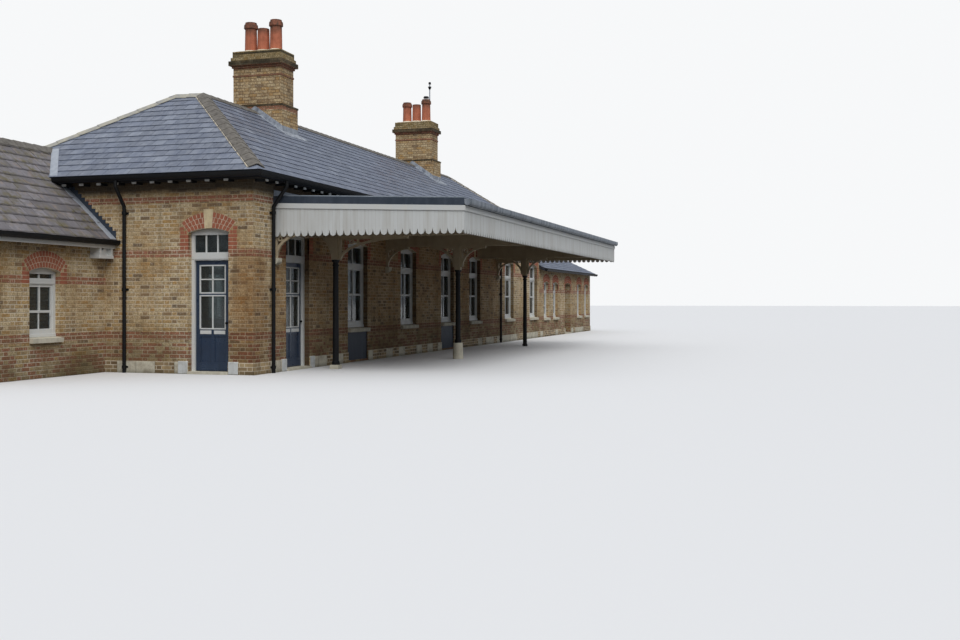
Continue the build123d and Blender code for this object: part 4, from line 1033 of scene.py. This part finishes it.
class STATION_OT_eaves(bpy.types.Operator):
    """Fits the rafter feet and soffit under the main eaves, and the annex's fascia and bracket"""
    bl_idname = "station.eaves"
    bl_label = "Eaves"

    def execute(self, context):
        pitch, reach = sizes().rafter_pitch, 0.28

        def feet(span, near, far):
            foot = bar((0.08, near, EAVE_UNDER - 0.058), (0.18, far, EAVE_UNDER - 0.01))
            return repeat(foot, int((span - 0.2) / pitch) + 1, (pitch, 0, 0))

        rear_span = MAIN_LEN - WING_LEN
        front, end, rear, wing = places = (place("front", 0), place("end", WING_DEPTH), place("rear", MAIN_LEN),
                                           place("wing", WING_LEN))
        sides = list(zip(places, (MAIN_LEN, WING_DEPTH, rear_span, WING_LEN)))
        tip, root = 0.045 - EAVE_OUT, 0.08 - EAVE_OUT
        finish([placed(feet(span, tip, root), where) for where, span in sides], "rafter_feet", "white_paint", 0.008)
        # Black boards under the eaves, and black roots behind the white ends of the rafter feet: painted shade
        # under the eaves.
        boards = [placed(bar((start, -reach, EAVE_UNDER - thick), (stop, -0.004, EAVE_UNDER)), where)
                  for where, start, stop, thick in (
                      (front, -reach, MAIN_LEN + reach, 0.012), (rear, -reach, rear_span, 0.012),
                      (wing, -reach, WING_LEN + reach, 0.012), (end, WING_DEPTH - ANNEX_EAVE_Y, WING_DEPTH, 0.014))]
        boards += [placed(feet(span, root, 0.0), where) for where, span in sides]
        finish(boards, "eaves_soffit", "black_paint")
        under, outer = annex_z(ANNEX_EAVE_Y) - 0.12, ANNEX_EAVE_Y + 0.01
        parts = [bar((-4.0, ANNEX_EAVE_Y, under - 0.08), (-0.01, ANNEX_EAVE_Y + 0.03, under + 0.02)),
                 bar((-0.52, outer, 2.4), (-0.46, ANNEX_WALL_Y, under)),
                 bar((-0.14, outer, 2.4), (-0.08, ANNEX_WALL_Y, under)),
                 bar((-0.46, outer + 0.07, 2.42), (-0.14, ANNEX_WALL_Y, 2.6)),
                 bar((-0.54, outer - 0.005, 2.39), (-0.06, ANNEX_WALL_Y, 2.46))]
        brace = placed(bar((-0.035, outer + 0.03, -0.2), (0.035, outer + 0.07, 0.2)),
                       Matrix.Translation((-0.3, 0, 2.6)) @ Matrix.Rotation(math.radians(45), 4, "Y"))
        finish(in_building(parts + [brace]), "annex_fascia_and_bracket", "white_paint", 0.004)
        return {"FINISHED"}


class STATION_OT_canopy_sheets(bpy.types.Operator):
    """Lays the rolls of the canopy's roof and the boards under it"""
    bl_idname = "station.canopy_sheets"
    bl_label = "Canopy sheets and boards"

    def execute(self, context):
        pitch, board_pitch = sizes().roll_pitch, 0.15
        top, low, depth = 3.71, 3.56, 4.22
        roll = repeat(bar((0.98, -4.17, 0), (1.02, -0.03, 0.035)), int(16.7 / pitch) + 1, (pitch, 0, 0))
        plank = repeat(bar((0.9, -4.1, -0.085), (1.045, 0, -0.065)), int(16.85 / board_pitch), (board_pitch, 0, 0))
        for piece in (roll, plank):
            for vertex in piece.data.vertices:
                vertex.co.z += top + vertex.co.y * (top - low) / depth
            placed(piece, place("front", 0))
        finish([roll], "canopy_rolls", "canopy_sheet", 0.012)
        # The boards under the canopy are brown and black: painted shade under the canopy.
        finish([plank], "canopy_soffit_boards", "soffit", 0.004)
        return {"FINISHED"}


class STATION_OT_flashings(bpy.types.Operator):
    """Dresses lead round the stacks, the canopy and the annex roof"""
    bl_idname = "station.flashings"
    bl_label = "Lead flashings"

    def annex_valleys(self):
        """Lead on the main end slope beside the annex roof where it runs in."""
        strips = []
        for side in (-1, 1):
            points = []
            for x, z in ((0.01 - EAVE_OUT, EAVE_Z), (0.78, EAVE_Z + 1.08 * math.tan(PITCH))):
                y = ANNEX_RIDGE_Y + side * (ANNEX_RIDGE_Z - z) / math.tan(ANNEX_PITCH)
                points += [(x, y, z), (x, y + side * 0.2, z)]
            strip = bar((0, 0, 0), (1, 1, 0.02))
            for vertex in strip.data.vertices:
                corner = Vector(points[2 * round(vertex.co.x) + round(vertex.co.y)])
                vertex.co = corner + Vector((0, 0, 0.012 + vertex.co.z))
            if side < 0:
                strip.data.flip_normals()
            strips.append(strip)
        return strips

    def execute(self, context):
        half = MAIN_DEPTH / 2
        strips = []
        for x in STACKS:
            for side in (-1, 1):
                face = x + side * 0.4505
                for out, reach, low, high in ((0.16, 0.95, 0.014, 0.026), (0.006, 0.765, 0.01, 0.17)):
                    strip = bar((face, half - reach, low), (face + side * out, half + reach, high))
                    strips.append(apply(strip, "SUBSURF", levels=2, render_levels=2, subdivision_type="SIMPLE"))
            for side in (-1, 1):
                face = half + side * 0.7655
                for out, reach, low, high in ((0.22, 0.6, 0.016, 0.03), (0.006, 0.455, 0.01, 0.16)):
                    strips.append(bar((x - reach, face, low), (x + reach, face + side * out, high)))
        for strip in strips:
            for vertex in strip.data.vertices:
                vertex.co.z += RIDGE_Z - abs(vertex.co.y - half) * math.tan(PITCH)
        finish(in_building(strips), "stack_flashings", "old_lead", 0.003)
        foot, head = ANNEX_EAVE_Y - 0.02, ANNEX_RIDGE_Y - (ANNEX_RIDGE_Z - EAVE_UNDER) / math.tan(ANNEX_PITCH)
        lead = [sliced(bar((-0.185, foot, 0.014), (-0.003, head, 0.03)), 1, [foot + 0.16 * i for i in range(1, 8)])]
        for vertex in lead[0].data.vertices:
            wander = 0.02 * math.sin(7 * vertex.co.y) + 0.01 * math.sin(19 * vertex.co.y)
            vertex.co.x += wander * (vertex.co.x < -0.1)
            vertex.co.z += annex_z(vertex.co.y)
        soakers, step = [], sizes().course / math.tan(ANNEX_PITCH)
        for i in range(int((head - foot) / step)):
            y = foot + i * step
            low, high = annex_z(y) - 0.02, annex_z(y) + 0.21
            soakers.append(bar((-0.012 - 0.003 * (i % 2), y + 0.01, low), (-0.002, y + step * 1.35, high)))
        finish(in_building(soakers), "stepped_flashings", "dark_lead", 0.002)
        lead.append(bar((0.86, -0.02, 3.68), (17.83, -0.003, 3.84)))
        finish(in_building(lead + self.annex_valleys()), "lead_flashings", "lead", 0.003)
        return {"FINISHED"}


class STATION_OT_pipe_collars(bpy.types.Operator):
    """Fits sockets and straps to the downpipes"""
    bl_idname = "station.pipe_collars"
    bl_label = "Pipe collars"

    def execute(self, context):
        parts = []
        for z in (0.12, 1.75, 3.35):
            parts += [rod(0.05, 0.07, (0, -PIPE_OUT, z)), bar((-0.075, -0.03, z - 0.02), (0.075, 0, z + 0.02))]
        places = ("front", 0.75), ("front", 18.06), ("end", 3.0)
        finish(copies(joined(parts), places), "pipe_collars", "black_paint", 0.005)
        return {"FINISHED"}


class STATION_OT_pot_bedding(bpy.types.Operator):
    """Beds the chimney pots in mortar, and fits a cowl and the aerial's fittings"""
    bl_idname = "station.pot_bedding"
    bl_label = "Pot bedding"

    def execute(self, context):
        half = MAIN_DEPTH / 2
        parts = []
        for x, node in zip(STACKS, ("near_chimney", "far_chimney")):
            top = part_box(node)[1][2]
            parts.append(bar((x - 0.33, half - 0.63, top), (x + 0.33, half + 0.63, top + 0.02)))
            parts += [tapered(0.215, 0.166, 0.07, (x, half + i * POT_PITCH, top + 0.045), 18) for i in (-1, 0, 1)]
        finish(in_building(parts), "pot_bedding", "mortar", 0.006)
        # The cowl stands on the front pot of the far stack
        y, head, reach = half - POT_PITCH, top + 0.84, 0.08
        parts = [rod(0.008, 0.07, (x + reach * math.cos(turn), y + reach * math.sin(turn), head + 0.03), 8)
                 for turn in (0.5, 2.6, 4.7)]
        parts.append(rod(0.13, 0.014, (x, y, head - 0.009), 24))
        mast = middle("aerial_mast"), middle("aerial_mast", 1)
        parts += [tapered(*shape, 20) for shape in (
            (0.105, 0.085, 0.06, (x, y, head + 0.085)), (0.03, 0.068, 0.1, (*mast, 9.28)),
            (0.05, 0.04, 0.07, (*mast, 9.455)))]
        finish(in_building(parts), "cowl_and_aerial_fittings", "black_paint", 0.003)
        return {"FINISHED"}


class STATION_OT_gutter_ends(bpy.types.Operator):
    """Closes the ends of the straight gutters"""
    bl_idname = "station.gutter_ends"
    bl_label = "Gutter stop ends"

    def execute(self, context):
        thin, radius = 0.004, 0.06
        ends = [(x, -4.282, 3.4723, 0.07) for x in (0.844, 17.846)]
        ends += [(x, y, 2.8, 0.04) for x in (24.004, 34.814) for y in (-0.312, 4.112)]
        ends += [(x, y + out, annex_z(y) - 0.06, 0.04) for x in (-4.016, -0.004)
                 for y, out in ((ANNEX_EAVE_Y, -0.062), (ANNEX_BACK_Y, 0.062))]
        parts = []
        for x, y, z, lip in ends:
            disc = rod(radius, 2 * thin, (x, y, z), 16, (0, math.pi / 2, 0))
            parts += [cut(disc, (x, y, z), (0, 0, 1)),
                      bar((x - thin, y - radius, z), (x + thin, y + radius, z + lip - thin))]
        finish(in_building(parts), "gutter_stop_ends", "gutter_paint")
        return {"FINISHED"}


class STATION_OT_plinth_stones(bpy.types.Operator):
    """Sets white painted stones in the plinth beside the doors"""
    bl_idname = "station.plinth_stones"
    bl_label = "Painted plinth stones"

    def execute(self, context):
        parts = []
        for side, along, width in DOOR_PLACES:
            for hand in (-1, 1):
                near, far = hand * (width / 2 + 0.004), hand * (width / 2 + 0.235)
                parts.append(placed(bar((near, -0.031, 0.004), (far, 0.02, 0.262)), place(side, along)))
        finish(parts, "painted_plinth_stones", "white_stone", 0.008)
        return {"FINISHED"}


class STATION_OT_stage(bpy.types.Operator):
    """Sets the floor, light and camera"""
    bl_idname = "station.stage"
    bl_label = "Stage"

    def execute(self, context):
        scene = context.scene
        choose()
        bpy.ops.mesh.primitive_plane_add(size=600, location=(0, 0, -0.002))
        floor = context.object
        floor.name = "studio_floor"
        made, tree = material("studio_floor")
        rays = add(tree, "ShaderNodeLightPath")
        seen = calc("MAXIMUM", rays["Is Camera Ray"], rays["Is Glossy Ray"])
        face = mix(seen, (0.09, 0.085, 0.08, 1), (0.8, 0.8, 0.8, 1))
        fill(tree.nodes["Principled BSDF"], {"Base Color": face, "Roughness": 0.9})
        floor.data.materials.append(made)
        world = bpy.data.worlds.new("studio_sky")
        scene.world = world
        world.use_nodes = True
        rays = add(world.node_tree, "ShaderNodeLightPath")
        seen = calc("MAXIMUM", rays["Is Camera Ray"], rays["Is Transmission Ray"])
        sky = mix(seen, (0.72, 0.78, 0.88, 1), (0.93, 0.94, 0.95, 1))
        fill(world.node_tree.nodes["Background"], {0: sky, 1: ramp(seen, 0, 1, 0.35, 1.0)})
        lights = (("soft_sun", 1.75, 50, (38, -30, -20)), ("open_sky", 1.1, 110, (0, 0, 0)))
        for name, energy, angle, turn in lights:
            bpy.ops.object.light_add(type="SUN", rotation=[math.radians(part) for part in turn])
            light = context.object
            light.name = name
            light.data.energy = energy
            light.data.angle = math.radians(angle)
        bpy.ops.object.camera_add()
        camera = context.object
        camera.name = "station_camera"
        turn = math.radians(17.04)
        camera.location = CORNER + Vector((-19.79, -10.87, 1.51))
        camera.rotation_euler = (math.pi / 2, 0, turn - math.pi / 2)
        camera.data.lens = 40.9
        camera.data.sensor_width = 36
        camera.data.shift_y = -0.02
        camera.data.clip_end = 1000
        scene.camera = camera
        scene.view_settings.view_transform = "Standard"
        return {"FINISHED"}


class STATION_PT_panel(bpy.types.Panel):
    """Lists the steps that dress the building"""
    bl_label = "Station building"
    bl_space_type = "VIEW_3D"
    bl_region_type = "UI"
    bl_category = "Station"

    def draw(self, context):
        for operator in OPERATORS:
            self.layout.operator(operator.bl_idname)
        for group in (context.scene.station_sizes, context.scene.station_colours):
            for name in group.__annotations__:
                self.layout.prop(group, name)


OPERATORS = (STATION_OT_finishes, STATION_OT_slates, STATION_OT_caps, STATION_OT_dressings,
             STATION_OT_window_bars, STATION_OT_door_joinery, STATION_OT_eaves, STATION_OT_canopy_sheets,
             STATION_OT_flashings, STATION_OT_pipe_collars, STATION_OT_pot_bedding, STATION_OT_gutter_ends,
             STATION_OT_plinth_stones, STATION_OT_stage)
CLASSES = (StationSizes, StationColours) + OPERATORS + (STATION_PT_panel,)


def register():
    for cls in CLASSES:
        bpy.utils.register_class(cls)
    bpy.types.Scene.station_sizes = PointerProperty(type=StationSizes)
    bpy.types.Scene.station_colours = PointerProperty(type=StationColours)


def unregister():
    del bpy.types.Scene.station_colours
    del bpy.types.Scene.station_sizes
    for cls in reversed(CLASSES):
        bpy.utils.unregister_class(cls)


def main():
    register()
    for operator in OPERATORS:
        group, name = operator.bl_idname.split(".")
        getattr(getattr(bpy.ops, group), name)()


if __name__ == "__main__":
    main()
